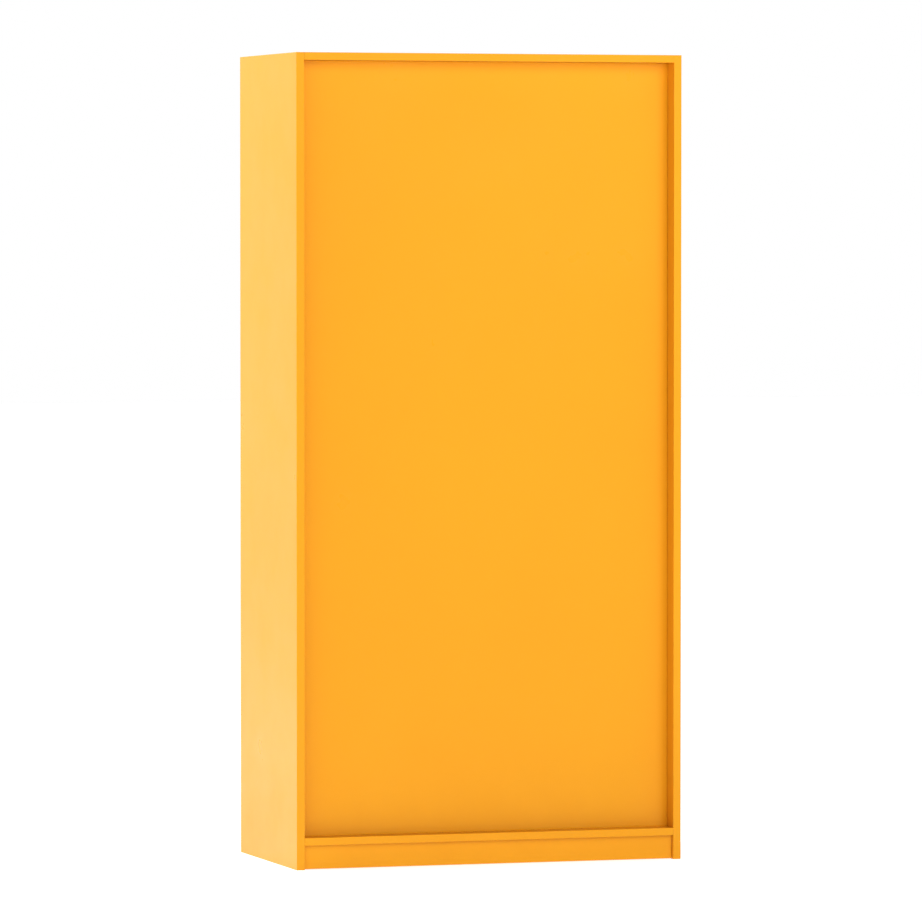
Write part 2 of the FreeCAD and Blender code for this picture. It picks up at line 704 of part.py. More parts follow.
def door_stop_arms():
    """Curved arms on the door. Each one's tab meets a bolt in the side panel at full opening."""
    x0, x1 = stop_arm_x, stop_arm_x + STOP_ARM_THICKNESS
    start = math.degrees(math.asin(hinge_r / stop_inner))
    tab_from, tab_to = STOP_TAB_DEG - STOP_TAB_HALF_DEG, STOP_TAB_DEG + STOP_TAB_HALF_DEG
    z = vend_hinge_z + STOP_RADIUS
    arm = join(
        arc_band(x0, x1, stop_inner, stop_outer, start, tab_to),
        arc_band(x0, x1, stop_outer - 1, stop_outer + STOP_TAB, tab_from, tab_to),
        box(x0, x1 + 1.5, door_in, door_in + 5.0, z - 14.0, z + 8.0),
    )
    return both_sides(arm)


def door_stop_bolts():
    start = (stop_arm_x - 2.0, stop_bolt_y, stop_bolt_z)
    bolt = join(
        rod(start, X_AXIS, STOP_BOLT_R, skin_in - start[0]),
        rod((skin_in - 3.0, stop_bolt_y, stop_bolt_z), X_AXIS, STOP_BOLT_R + 3, 3.0),
    )
    return both_sides(bolt)


def vend_hinge_rod():
    """Rod across the opening, with a pinned collar at each end of the door and outside the frame."""
    end = reveal + BODY_SHEET + 4.0
    parts = [rod((-end, hinge_y, vend_hinge_z), X_AXIS, HINGE_ROD_R, 2 * end)]
    parts += both_sides(
        rod((door_half + 0.1, hinge_y, vend_hinge_z), X_AXIS, 8.5, DOOR_GAP - 0.2),
        rod((reveal + BODY_SHEET + 0.2, hinge_y, vend_hinge_z), X_AXIS, hinge_collar_r, 1.6),
    )
    return join(*parts)


def vend_hinge_bushes():
    start = (door_half - BUSH_LENGTH, hinge_y, vend_hinge_z)
    outer, inner = hinge_bore_r - FIT_CLEARANCE, HINGE_ROD_R + RUNNING_CLEARANCE
    return both_sides(tube(start, X_AXIS, outer, inner, BUSH_LENGTH))


def vend_door_springs():
    """Torsion springs inside the rolled foot of the door, round the hinge rod."""
    length, turns = 60.0, 10
    coil_r, wire_r = (hinge_bore_r + HINGE_ROD_R) / 2, (hinge_bore_r - HINGE_ROD_R) / 4
    start = (door_half - BUSH_LENGTH - length - 6.0, hinge_y, vend_hinge_z)
    return both_sides(coil(start, X_AXIS, coil_r, wire_r, length, turns))


def side_seals(z0, z1):
    """Upright strips of a door seal, on the front of the door stops."""
    x1 = reveal - 1.0
    return both_sides(
        box(x1 - SEAL_WIDTH, x1, door_in + SEAL_GAP, front_lip_out, z0, z1)
    )


def door_seal(z_bottom, z_top):
    """Two upright strips and the strip under the rail above the door."""
    x1 = reveal - 1.0
    top = box(-x1, x1, door_in + SEAL_GAP, front_lip_out, z_top - 1.0 - SEAL_WIDTH, z_top - 1.0)
    return side_seals(z_bottom, z_top - 1.0 - SEAL_WIDTH) + [top]


def storage_door_pan():
    """The lower door's pan. Its left edge is rolled round the hinge pins."""
    t = THIN_SHEET
    z0, z1 = storage_bottom, storage_door_top
    start = (storage_hinge_x, hinge_y, z0)
    root = storage_hinge_x + hinge_r
    shell = join(
        box(storage_hinge_x, door_half, front, door_in, z0, z1),
        rod(start, Z_AXIS, hinge_r, z1 - z0),
    )
    cavity = box(root, door_half - t, front + t, door_in - t, z0 + t, z1 - t)
    lip = DOOR_LIP
    opening = box(root + lip, door_half - lip, door_in - 2 * t, door_in + 1, z0 + lip, z1 - lip)
    bore = rod(start, Z_AXIS, hinge_bore_r, z1 - z0)
    lock = rod((storage_lock_x, front - 1, storage_lock_z), Y_AXIS, LOCK_BODY_R, t + 2)
    return cut(join(cut(shell, cavity, opening, bore), *storage_door_ribs()), lock)


def storage_door_ribs():
    """Two hat sections welded across the inside of the lower door."""
    half, depth, foot = 14.0, 10.0, 10.0
    skin_back, t = front + THIN_SHEET, THIN_SHEET
    x0, x1 = storage_hinge_x + hinge_r + 6.0, door_half - 70.0
    span = storage_door_top - storage_bottom
    solids = []
    for share in (0.27, 0.73):
        z = storage_bottom + span * share
        solids.append(join(
            box(x0, x1, skin_back + depth - t, skin_back + depth, z - half, z + half),
            box(x0, x1, skin_back, skin_back + depth, z - half, z - half + t),
            box(x0, x1, skin_back, skin_back + depth, z + half - t, z + half),
            box(x0, x1, skin_back, skin_back + t, z - half - foot, z - half + t),
            box(x0, x1, skin_back, skin_back + t, z + half - t, z + half + foot),
        ))
    return solids


def storage_hinge_pins():
    """A shouldered pin welded into the floor pan, and one held by a nut in the rail above."""
    x, y, r = storage_hinge_x, hinge_y, HINGE_PIN_R
    in_door, shoulder = BUSH_LENGTH - 1.0, DOOR_GAP - 0.2
    lower = join(
        rod((x, y, floor_top - BODY_SHEET), Z_AXIS, r, BODY_SHEET + DOOR_GAP + in_door),
        rod((x, y, floor_top), Z_AXIS, 8.0, shoulder),
    )
    upper = join(
        rod((x, y, storage_door_top - in_door), Z_AXIS, r, in_door + DOOR_GAP + RAIL - 3.0),
        rod((x, y, storage_top - shoulder), Z_AXIS, 8.0, shoulder),
    )
    return [lower, upper, hex_nut((x, y, storage_top + BODY_SHEET), Z_AXIS, 2 * hinge_collar_r, 6.0, r)]


def storage_hinge_bushes():
    outer, inner = hinge_bore_r - FIT_CLEARANCE, HINGE_PIN_R + RUNNING_CLEARANCE
    return [
        tube((storage_hinge_x, hinge_y, z), Z_AXIS, outer, inner, BUSH_LENGTH)
        for z in (storage_bottom, storage_door_top - BUSH_LENGTH)
    ]


# ---------------------------------------------------------------- locks
def lock_body(x, z, flange_r):
    """A lock's barrel through a door's skin, with its flange outside."""
    length = cam_y - front - 0.3
    body = join(
        rod((x, front, z), Y_AXIS, LOCK_BODY_R, length),
        rod((x, front - 3.0, z), Y_AXIS, flange_r, 3.0),
    )
    return cut(body, rod((x, front - 4.0, z), Y_AXIS, LOCK_PLUG_R + RUNNING_CLEARANCE, length + 8))


def lock_nut(x, z):
    """The nut that clamps a lock from inside the door."""
    return hex_nut((x, front + THIN_SHEET, z), Y_AXIS, 26.0, 4.0, LOCK_BODY_R)


def lock_cam(x, z, direction):
    """A cam behind the door, with its arm along direction at rest."""
    half = CAM_WIDTH / 2
    tip = V(x, 0, z) + direction * (CAM_LENGTH - half)
    disc = rod((x, cam_y, z), Y_AXIS, half, CAM_THICKNESS)
    end = rod((tip.x, cam_y, tip.z), Y_AXIS, half, CAM_THICKNESS)
    x0, x1 = sorted((x, tip.x))
    z0, z1 = sorted((z, tip.z))
    dx, dz = (0.0, half) if abs(direction.x) > 0.5 else (half, 0.0)
    arm = box(x0 - dx, x1 + dx, cam_y, cam_y + CAM_THICKNESS, z0 - dz, z1 + dz)
    hub = rod((x, cam_y - 0.5, z), Y_AXIS, 4.0, CAM_THICKNESS + 1)
    return cut(join(disc, arm, end), hub)


def lock_plug(x, z):
    """The turning cylinder: keyway in front, and the neck that holds the cam behind."""
    plug = join(
        rod((x, front - 3.6, z), Y_AXIS, LOCK_PLUG_R, cam_y - front + 3.4),
        rod((x, cam_y - 0.2, z), Y_AXIS, 4.0, CAM_THICKNESS + 0.2),
        rod((x, cam_y + CAM_THICKNESS, z), Y_AXIS, 6.0, 2.5),
    )
    return cut(plug, box(x - 0.9, x + 0.9, front - 5, front + 6, z - 4.2, z + 4.2))


def storage_handle():
    """The T-handle, in one piece with its shaft and the neck that holds the cam."""
    x, z, y = storage_lock_x, storage_lock_z, front
    grip = rod((x, y - 22.0, z - 45.0), Z_AXIS, 6.0, 90.0)
    ends = [e for e in grip.Edges if abs(e.Length - 2 * math.pi * 6.0) < 0.1]
    return join(
        grip.makeFillet(4.0, ends),
        rod((x, y - 22.0, z), Y_AXIS, LOCK_PLUG_R, cam_y - y + 21.8),
        rod((x, cam_y - 0.2, z), Y_AXIS, 4.0, CAM_THICKNESS + 0.2),
        rod((x, cam_y + CAM_THICKNESS, z), Y_AXIS, 6.0, 2.5),
    )


# ---------------------------------------------------------------- paper compartment
def slot_levels():
    """Middle heights of the uprights' slots, with one level at the shelf's hooks."""
    hook_level = shelf_z - 16.0
    first = paper_floor + 30.0
    count_below = int((hook_level - first) // UPRIGHT_PITCH)
    level, levels = hook_level - count_below * UPRIGHT_PITCH, []
    while level < paper_top - DECK_FLANGE - 25.0:
        levels.append(level)
        level += UPRIGHT_PITCH
    return levels


def shelf_uprights():
    """Slotted channels welded to the side panels."""
    t, half = THIN_SHEET, UPRIGHT_WIDTH / 2
    z0, z1 = paper_floor + 12.0, paper_top - DECK_FLANGE
    solids = []
    for y in upright_ys:
        web_out = skin_in - UPRIGHT_DEPTH
        channel = join(
            box(web_out, web_out + t, y - half, y + half, z0, z1),
            box(web_out, skin_in, y - half, y - half + t, z0, z1),
            box(web_out, skin_in, y + half - t, y + half, z0, z1),
        )
        slots = [
            box(web_out - 1, web_out + t + 1, y - SLOT_WIDTH / 2, y + SLOT_WIDTH / 2,
                z - SLOT_HEIGHT / 2, z + SLOT_HEIGHT / 2)
            for z in slot_levels()
        ]
        solids += both_sides(cut(channel, *slots))
    return solids


def shelf_brackets():
    """An arm at each side, hooked into two uprights, with a ledge under the shelf."""
    plate_out = skin_in - UPRIGHT_DEPTH - 0.2
    plate_in = plate_out - 2.0
    y0, y1 = upright_ys[0] - 18.0, upright_ys[1] + 18.0
    hook_half, hook_z = SLOT_WIDTH / 2 - 0.3, shelf_z - 16.0
    parts = [
        box(plate_in, plate_out, y0, y1, shelf_z - 30.0, shelf_z),
        box(plate_in - 28.0, plate_out, y0, y1, shelf_z - 2.0, shelf_z),
    ]
    for y in upright_ys:
        hook = box(plate_in, plate_out + 6.0, y - hook_half, y + hook_half, hook_z - 5.0, hook_z + 5.0)
        parts.append(hook)
    return both_sides(join(*parts))


def paper_shelf():
    """Tray with a low front edge, a higher back edge and turned-up ends."""
    t, half = THIN_SHEET, skin_in - UPRIGHT_DEPTH - 6.0
    y0, y1 = front_lip_in + 24.0, rear_lip_in - 18.0
    z = shelf_z
    return join(
        box(-half, half, y0, y1, z, z + t),
        box(-half, half, y0, y0 + t, z, z + 14.0),
        box(-half, half, y1 - t, y1, z, z + 30.0),
        box(-half, -half + t, y0, y1, z, z + 14.0),
        box(half - t, half, y0, y1, z, z + 14.0),
    )


# ---------------------------------------------------------------- coin compartment
def coin_panel():
    """Fixed panel at the left of the coin compartment, with its card window and coin controls."""
    x0, x1, z0, z1 = panel_left, panel_right, panel_bottom, panel_top
    shell, cavity, opening = door_pan(x0, x1, z0, z1, front_lip_out)
    skin = (front - 1, front + THIN_SHEET + 1)
    card = round_plate(card_left, card_right, card_bottom, card_top, 6.0, *skin)
    half_x, half_z = COIN_WIDTH / 2, COIN_HEIGHT / 2
    slot = box(coin_x - half_x, coin_x + half_x, *skin, controls_z - half_z, controls_z + half_z)
    button = rod((button_x, skin[0], controls_z), Y_AXIS, BUTTON_R + 3.5, skin[1] - skin[0])
    cup = box(cup_left + 3, cup_right - 3, *skin, cup_bottom + 3, cup_top - 3)
    return cut(join(cut(shell, cavity, opening), card_pocket()), card, slot, button, cup)


def card_layer(margin, y0, y1):
    return box(card_left - margin, card_right + margin, y0, y1, card_bottom - margin, card_top + margin)


def card_window():
    y = front + THIN_SHEET
    return card_layer(10.0, y, y + 2.0)


def title_card():
    y = front + THIN_SHEET + 2.0
    return card_layer(9.0, y, y + 0.8)


def card_pocket():
    """Pocket behind the coin panel's skin for the card and its window, open at the top."""
    y0, y1 = front + THIN_SHEET, front + THIN_SHEET + 4.3
    x0, x1, z0, z1 = card_left - 12.0, card_right + 12.0, card_bottom - 12.0, card_top + 4.0
    pocket = box(x0, x1, y0, y1, z0, z1)
    room = box(x0 + 1.8, x1 - 1.8, y0, y1 - 1.2, z0 + 1.8, z1 + 1)
    return cut(pocket, room)


def coin_slot_plate():
    """Raised plate round the coin slot, with a lead-in."""
    y0, half_x, half_z = front - 3.5, COIN_WIDTH / 2, COIN_HEIGHT / 2
    z0, z1 = controls_z - half_z, controls_z + half_z
    plate = round_plate(coin_x - 19, coin_x + 19, z0 - 12, z1 + 12, 6.0, y0, front)
    face = [e for e in plate.Edges if abs(e.CenterOfMass.y - y0) < 1e-6]
    plate = plate.makeFillet(1.2, face)
    slot = box(coin_x - half_x, coin_x + half_x, y0 - 1, front + 1, z0, z1)
    return cut(plate, slot, slot_lead_in(y0))


def slot_lead_in(y0):
    """A V groove along the slot's mouth."""
    half_z, wide, narrow, deep = COIN_HEIGHT / 2, 4.5, COIN_WIDTH / 2, 2.4
    mouth = [V(coin_x - wide, y0 - 0.01, 0), V(coin_x + wide, y0 - 0.01, 0)]
    ring = mouth + [V(coin_x + narrow, y0 + deep, 0), V(coin_x - narrow, y0 + deep, 0)]
    groove = Part.Face(Part.makePolygon(ring + ring[:1])).extrude(V(0, 0, COIN_HEIGHT))
    return groove.translated(V(0, 0, controls_z - half_z))


def coin_return_button():
    cap = rod((button_x, front - 6.0, controls_z), Y_AXIS, BUTTON_R, 14.0)
    rim = [min(cap.Edges, key=lambda e: e.CenterOfMass.y)]
    stem, tip = front + 8.0, 3.0
    pad_front = reject_y - REJECT_PAD / 2
    return join(
        cap.makeFillet(2.0, rim),
        rod((button_x, stem, controls_z), Y_AXIS, 4.0, pad_front - tip - stem),
        rod((button_x, pad_front - tip, controls_z), Y_AXIS, 1.0, tip - 0.5),
    )


def button_bezel():
    """The button's housing: a ring outside the panel and a cup that guides the stem."""
    x, z = button_x, controls_z
    clear = BUTTON_R + 0.15
    body = join(
        rod((x, front - 2.5, z), Y_AXIS, BUTTON_R + 6.5, 2.5),
        rod((x, front, z), Y_AXIS, BUTTON_R + 3.5, 24.0),
    )
    return cut(
        body,
        rod((x, front - 3, z), Y_AXIS, clear, 25.0),
        rod((x, front + 20, z), Y_AXIS, 4.15, 6.0),
    )


def coin_return_cup():
    """Folded pocket behind the panel, with the flap's pin and the duct that drops coins into it."""
    t = THIN_SHEET
    y0, y1 = front + t, front + t + CUP_DEPTH
    duct_front, duct_rear, half = front + 15.0, front + 43.0, COIN_WIDTH / 2 + 7.2
    fall = (controls_z - COIN_HEIGHT / 2 - chute_end_z) / (chute_end_y - front - THIN_SHEET)
    duct_top = controls_z - COIN_HEIGHT / 2 - fall * (duct_rear - front) - 4.0
    outer = join(
        box(cup_left, cup_right, y0, y1, cup_bottom, cup_top),
        box(coin_x - half, coin_x + half, duct_front, duct_rear, cup_top - t, duct_top),
    )
    inner = box(cup_left + t, cup_right - t, y0 - 1, y1 - t, cup_bottom + t, cup_top - t)
    reach = half - t
    drop = box(
        coin_x - reach, coin_x + reach, duct_front + t, duct_rear - t, cup_top - t - 1, duct_top + 1
    )
    return join(cut(outer, inner, drop), rod((cup_left, flap_y, flap_z), X_AXIS, 1.5, CUP_WIDTH))


def coin_return_flap():
    """Hanging flap in the mouth of the return cup."""
    half = CUP_WIDTH / 2 - 4.0
    plate = join(
        box(coin_x - half, coin_x + half, flap_y - 0.75, flap_y + 0.75, cup_bottom + 5.0, flap_z),
        rod((coin_x - half, flap_y, flap_z), X_AXIS, 3.0, 2 * half),
        box(coin_x - 14.0, coin_x + 14.0, flap_y - 1.75, flap_y - 0.75, cup_bottom + 9.0, cup_bottom + 12.0),
    )
    bore_r = 1.5 + RUNNING_CLEARANCE
    return cut(plate, rod((coin_x - half - 1, flap_y, flap_z), X_AXIS, bore_r, 2 * half + 2))


def chute_outline(lower, start=0.0):
    """The coin chute seen from the side, its lower edge raised by lower and its front at start."""
    y0 = front + THIN_SHEET + start
    z0, half = controls_z, COIN_HEIGHT / 2
    slope = (z0 - half - chute_end_z) / (chute_end_y - y0)
    return [
        (y0, z0 - half + lower),
        (y0, z0 + half + 3.0 + lower),
        (y0 + 14.0, z0 + half + 3.0 + lower),
        (chute_end_y, z0 + half + 3.0 - slope * (chute_end_y - y0 - 14.0) + lower),
        (chute_end_y, chute_end_z + lower),
    ]


def coin_chute():
    """Channel from the slot down to the cradle, open at its top."""
    wall, half = 1.2, COIN_WIDTH / 2
    outer = prism_x(chute_outline(-1.6), coin_x - half - wall, coin_x + half + wall)
    inner = prism_x([(y - 1.0 if k < 2 else y + (1.0 if k > 2 else 0.0), z + (0.0 if k in (0, 4) else 6.0))
                     for k, (y, z) in enumerate(chute_outline(0.0))], coin_x - half, coin_x + half)
    gate = box(coin_x - half, coin_x + half, front + 17, front + 41, chute_end_z - 10, controls_z)
    y0, half_z = front + THIN_SHEET, COIN_HEIGHT / 2
    flange = box(coin_x - 11, coin_x + 11, y0, y0 + wall, controls_z - half_z - 6, controls_z + half_z + 6)
    return cut(join(outer, flange), inner, gate)


def mech_screw_places():
    rows = (mech_front + 14.0, mech_rear - 14.0)
    return [(x, y) for x in (mech_left - 7.0, mech_right + 7.0) for y in rows]


def coin_mech_frame():
    """U-shaped frame of the coin mechanism, with the two shafts riveted between its cheeks."""
    t, z0, z1 = MECH_SHEET, coin_floor, coin_floor + MECH_HEIGHT
    frame = join(
        box(mech_left, mech_left + t, mech_front, mech_rear, z0, z1),
        box(mech_right - t, mech_right, mech_front, mech_rear, z0, z1),
        box(mech_left, mech_right, mech_rear - t, mech_rear, z0, z1),
        box(mech_left - 14, mech_left, mech_front, mech_rear, z0, z0 + t),
        box(mech_right, mech_right + 14, mech_front, mech_rear, z0, z0 + t),
    )
    y0, y1 = cash_chute_front - 4, cash_chute_rear + 4
    window = box(mech_right - t - 1, mech_right + 1, y0, y1, vault_top + 3, cradle_z - 12)
    screws = [rod((x, y, z0 - 1), Z_AXIS, stud_r, t + 2) for x, y in mech_screw_places()]
    shafts = [
        rod((mech_left - 2, shaft_y, z), X_AXIS, LEVER_SHAFT_R, MECH_WIDTH + 4)
        for z in (latch_z, cradle_z)
    ]
    reject_hole = rod((mech_left - 1, reject_y, reject_z), X_AXIS, 2.5 + RUNNING_CLEARANCE, MECH_WIDTH + 2)
    return join(cut(frame, window, reject_hole, *screws), *shafts)


def latch_lever():
    """The latch: boss, arm forward, hook down through the deck, and a tail with the link's pin."""
    x0, x1 = lever_left, lever_right
    half = 6.0
    hook = prism_x([
        (hook_front, latch_z + half),
        (hook_front, hook_bottom + 2.0),
        (hook_front + 2.0, hook_bottom),
        (hook_front + HOOK_WIDTH - 2.0, hook_bottom),
        (hook_front + HOOK_WIDTH, hook_bottom + 2.0),
        (hook_front + HOOK_WIDTH, latch_z + half),
    ], x0, x1)
    lever = join(
        hook,
        box(x0, x1, hook_front, shaft_y, latch_z - half, latch_z + half),
        link_bar(x0, x1, (shaft_y, latch_z), (latch_pin_y, latch_z), half),
        rod((x0, shaft_y, latch_z), X_AXIS, 9.0, x1 - x0),
        rod((x0, latch_pin_y, latch_z), X_AXIS, LINK_PIN_R, link_right + 2.0 - x0),
    )
    bore_r = LEVER_SHAFT_R + RUNNING_CLEARANCE
    return cut(lever, rod((x0 - 1, shaft_y, latch_z), X_AXIS, bore_r, x1 - x0 + 2))


def latch_link():
    """Slanted bar from the latch's tail to the cradle's front arm, so that they turn opposite ways."""
    ends = ((latch_pin_y, latch_z), (cradle_pin_y, cradle_z))
    bar = link_bar(link_left, link_right, *ends, 6.0)
    return cut(bar, *[rod((link_left - 1, y, z), X_AXIS, LINK_HOLE_R, 6) for y, z in ends])


def coin_cradle():
    """Tube on the upper shaft, with the coin pan at one end and the link's arm at the other.

    A coin's weight in the pan pushes it down, which lifts the latch's hook.
    """
    hub_end = coin_x + 8.0
    pan_front, pan_z = chute_end_y + 1.5, chute_end_z - 7.0
    cradle = join(
        rod((arm_left, shaft_y, cradle_z), X_AXIS, 7.0, hub_end - arm_left),
        link_bar(arm_left, arm_right, (shaft_y, cradle_z), (cradle_pin_y, cradle_z), 6.0),
        rod((link_left - 1.5, cradle_pin_y, cradle_z), X_AXIS, LINK_PIN_R, arm_left - link_left + 1.5),
        box(coin_x - 8, hub_end, shaft_y - 3, shaft_y, pan_z, cradle_z),
        box(coin_x - 8, hub_end, pan_front, shaft_y, pan_z, pan_z + 1.5),
        box(coin_x - 8, coin_x - 6.5, pan_front, shaft_y, pan_z, pan_z + 14),
        box(hub_end - 1.5, hub_end, pan_front, shaft_y, pan_z, pan_z + 14),
    )
    bore_r = LEVER_SHAFT_R + RUNNING_CLEARANCE
    bore = rod((arm_left - 1, shaft_y, cradle_z), X_AXIS, bore_r, hub_end - arm_left + 2)
    return cut(cradle, bore)


def reject_lever():
    """Turning shaft with the pad that the button pushes and the finger inside the coin chute."""
    return join(
        rod((mech_left - 2, reject_y, reject_z), X_AXIS, 2.5, MECH_WIDTH + 4),
        box(button_x - 6, button_x + 6, reject_y - REJECT_PAD / 2, reject_y + REJECT_PAD / 2,
            controls_z - 6, reject_z),
        box(coin_x - 1, coin_x + 1, reject_y - 2.5, reject_y + 2.5, reject_z - 36, reject_z),
    )


cash_chute_front, cash_chute_rear = chute_end_y - 6.0, shaft_y + 10.0


def cash_chute():
    """Open trough that takes the coins from the cradle to the drawer."""
    x0, x1 = coin_x - 14.0, drawer_left + 16.0
    z0, z1, wall, side = chute_end_z - 12.0, vault_top, 1.2, 12.0
    end = x1 + 24.0
    outline = [(x0, z0), (x1, z1), (end, z1), (end, z1 + side), (x1, z1 + side), (x0, z0 + side)]
    floor = [(x0, z0), (x1, z1), (x1, z1 + wall), (x0, z0 + wall)]
    return join(
        prism_y(floor, cash_chute_front, cash_chute_rear),
        prism_y(outline, cash_chute_front - wall, cash_chute_front),
        prism_y(outline, cash_chute_rear, cash_chute_rear + wall),
    )


def vault_cover():
    """Hood over the cash drawer, with the coin inlet in its top and the drawer's runners inside."""
    t, z0, z1 = THIN_SHEET, coin_floor, vault_top
    x0, x1 = cash_left - 2.0, cash_right + 2.0
    y0, y1 = front_lip_in + 4.0, cash_rear + 7.0
    ledge, guide = cash_bottom - 0.2, 1.6
    hood = join(
        box(x0, x0 + t, y0, y1, z0, z1),
        box(x1 - t, x1, y0, y1, z0, z1),
        box(x0, x1, y0, y1, z1 - t, z1),
        box(x0, x1, y1 - t, y1, z0, z1),
        box(x0, x1, y1 - t, y1 + 12, z0, z0 + t),
        box(x0, x0 + 14, y0, y1, z0, ledge),
        box(x1 - 14, x1, y0, y1, z0, ledge),
        box(x0, x0 + guide, y0, y1, z0, z0 + 14),
        box(x1 - guide, x1, y0, y1, z0, z0 + 14),
    )
    inlet = box(drawer_left + 10, drawer_left + 36, cash_chute_front, cash_chute_rear, z1 - 3, z1 + 1)
    return cut(hood, inlet)


def cash_drawer_front():
    shell, cavity, opening = door_pan(drawer_left, drawer_right, drawer_bottom, drawer_top, door_in)
    lock = rod((drawer_mid, front - 1, controls_z), Y_AXIS, LOCK_BODY_R, THIN_SHEET + 2)
    return cut(shell, cavity, opening, lock)


def cash_drawer_box():
    """Open box behind the drawer's front, welded to its lower lip."""
    w = DRAWER_WALL
    outer = box(cash_left, cash_right, door_in, cash_rear, cash_bottom, cash_top)
    inner = box(cash_left + w, cash_right - w, door_in + w, cash_rear - w, cash_bottom + w, cash_top + 1)
    return cut(outer, inner)


# ---------------------------------------------------------------- assembly
def main():
    os.makedirs("parts", exist_ok=True)
    right = side_panel()
    left = side_panel_left(right)
    sides = (right, left)
    coin_deck_holes = [rod((x, y, coin_floor - 4), Z_AXIS, stud_r, 5) for x, y in mech_screw_places()]
    slot_rear = shaft_y - LATCH_ARM / 2
    x0, x1 = lever_left - 3, lever_right + 3
    hook_slot = box(x0, x1, hook_front - 3, slot_rear, coin_floor - 4, coin_floor + 1)
    pin_hole = rod((storage_hinge_x, hinge_y, storage_top - 1), Z_AXIS, HINGE_PIN_R, BODY_SHEET + 2)

    export("side_panel_right", right)
    export("side_panel_left", left)
    export("top_panel", top_panel(sides))
    export("floor_pan", floor_pan(sides))
    export("middle_deck", deck(paper_floor, sides, pin_hole))
    export("coin_deck", deck(coin_floor, sides, hook_slot, *coin_deck_holes))
    export("rear_panel", rear_panel())
    export("rear_panel_stiffeners", *rear_panel_stiffeners())
    export("panel_fixings", *panel_fixings())
    export("rear_plinth", plinth(1))
    export("front_plinth", plinth(-1))
    export("deck_screws", *deck_screws())
    export("anchor_plates", *anchor_plates())
    export("coin_mullion", mullion())

    export("vend_door_pan", vend_door_pan())
    export("window_gasket", window_gasket())
    export("vend_window", vend_window())
    export("window_retainer", window_retainer())
    export("window_fixings", *window_fixings())
    export("vend_door_handle", vend_door_handle())
    export("handle_screws", *handle_screws())
    export("display_band", display_band())
    export("latch_striker", latch_striker())
    export("door_stop_arms", *door_stop_arms())
    export("door_stop_bolts", *door_stop_bolts())
    export("vend_hinge_rod", vend_hinge_rod())
    export("vend_hinge_bushes", *vend_hinge_bushes())
    export("vend_door_springs", *vend_door_springs())
    export("vend_door_seal", *door_seal(vend_hinge_z + 20.0, paper_top))

    export("storage_door_pan", storage_door_pan())
    export("storage_hinge_pins", *storage_hinge_pins())
    export("storage_hinge_bushes", *storage_hinge_bushes())
    export("storage_door_seal", *door_seal(storage_bottom + 2.0, storage_top))
    storage_lock = lock_body(storage_lock_x, storage_lock_z, LOCK_FLANGE_R + 5)
    export("storage_lock_body", storage_lock, lock_nut(storage_lock_x, storage_lock_z))
    export("storage_handle", storage_handle())
    export("storage_lock_cam", lock_cam(storage_lock_x, storage_lock_z, Z_AXIS * -1))

    export("shelf_uprights", *shelf_uprights())
    export("shelf_brackets", *shelf_brackets())
    export("paper_shelf", paper_shelf())

    export("coin_panel", coin_panel())
    export("card_window", card_window())
    export("title_card", title_card())
    export("coin_slot_plate", coin_slot_plate())
    export("coin_return_button", coin_return_button())
    export("button_bezel", button_bezel())
    export("coin_return_cup", coin_return_cup())
    export("coin_return_flap", coin_return_flap())
    export("coin_chute", coin_chute())
    export("coin_mech_frame", coin_mech_frame())
    export("latch_lever", latch_lever())
    export("latch_link", latch_link())
    export("coin_cradle", coin_cradle())
    export("reject_lever", reject_lever())
    export("cash_chute", cash_chute())

    export("vault_cover", vault_cover())
    export("cash_drawer_front", cash_drawer_front())
    export("cash_drawer_box", cash_drawer_box())
    drawer_lock = lock_body(drawer_mid, controls_z, LOCK_FLANGE_R)
    export("drawer_lock_body", drawer_lock, lock_nut(drawer_mid, controls_z))
    export("drawer_lock_plug", lock_plug(drawer_mid, controls_z))
    export("drawer_lock_cam", lock_cam(drawer_mid, controls_z, X_AXIS * -1))


main()
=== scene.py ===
"""Newspaper vending box: procedural materials, softened sheet edges and fitted details."""
import json
import math

import bmesh
import bpy
from mathutils import Matrix, Vector


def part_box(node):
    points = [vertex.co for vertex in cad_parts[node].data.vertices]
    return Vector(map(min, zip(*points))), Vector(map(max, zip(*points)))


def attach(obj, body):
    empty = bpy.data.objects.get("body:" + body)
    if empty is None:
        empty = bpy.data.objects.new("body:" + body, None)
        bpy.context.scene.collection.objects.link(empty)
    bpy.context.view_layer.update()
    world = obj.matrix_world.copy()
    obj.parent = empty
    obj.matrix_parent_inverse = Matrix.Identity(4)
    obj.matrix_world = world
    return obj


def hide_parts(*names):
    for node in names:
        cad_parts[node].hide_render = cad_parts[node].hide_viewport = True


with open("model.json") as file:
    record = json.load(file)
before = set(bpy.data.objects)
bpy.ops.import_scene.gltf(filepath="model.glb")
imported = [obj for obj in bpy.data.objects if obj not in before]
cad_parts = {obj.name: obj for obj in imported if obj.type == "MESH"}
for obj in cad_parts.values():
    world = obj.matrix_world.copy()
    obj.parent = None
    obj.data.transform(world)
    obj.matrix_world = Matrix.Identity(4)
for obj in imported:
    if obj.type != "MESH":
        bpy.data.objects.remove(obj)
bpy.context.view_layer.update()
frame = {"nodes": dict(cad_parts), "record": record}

scene = bpy.context.scene
NODES = frame["nodes"]
BODY_OF = {n: b for b, ns in frame["record"]["behaviour"]["bodies"].items() for n in ns}
SLOT_OF = {s["node"]: s["material_slot"] for s in frame["record"]["subparts"]}
MM = 0.001

# Socket numbers of a Mix node that mixes colours.
MIX_FACTOR, MIX_A, MIX_B, MIX_RESULT = 0, 6, 7, 2


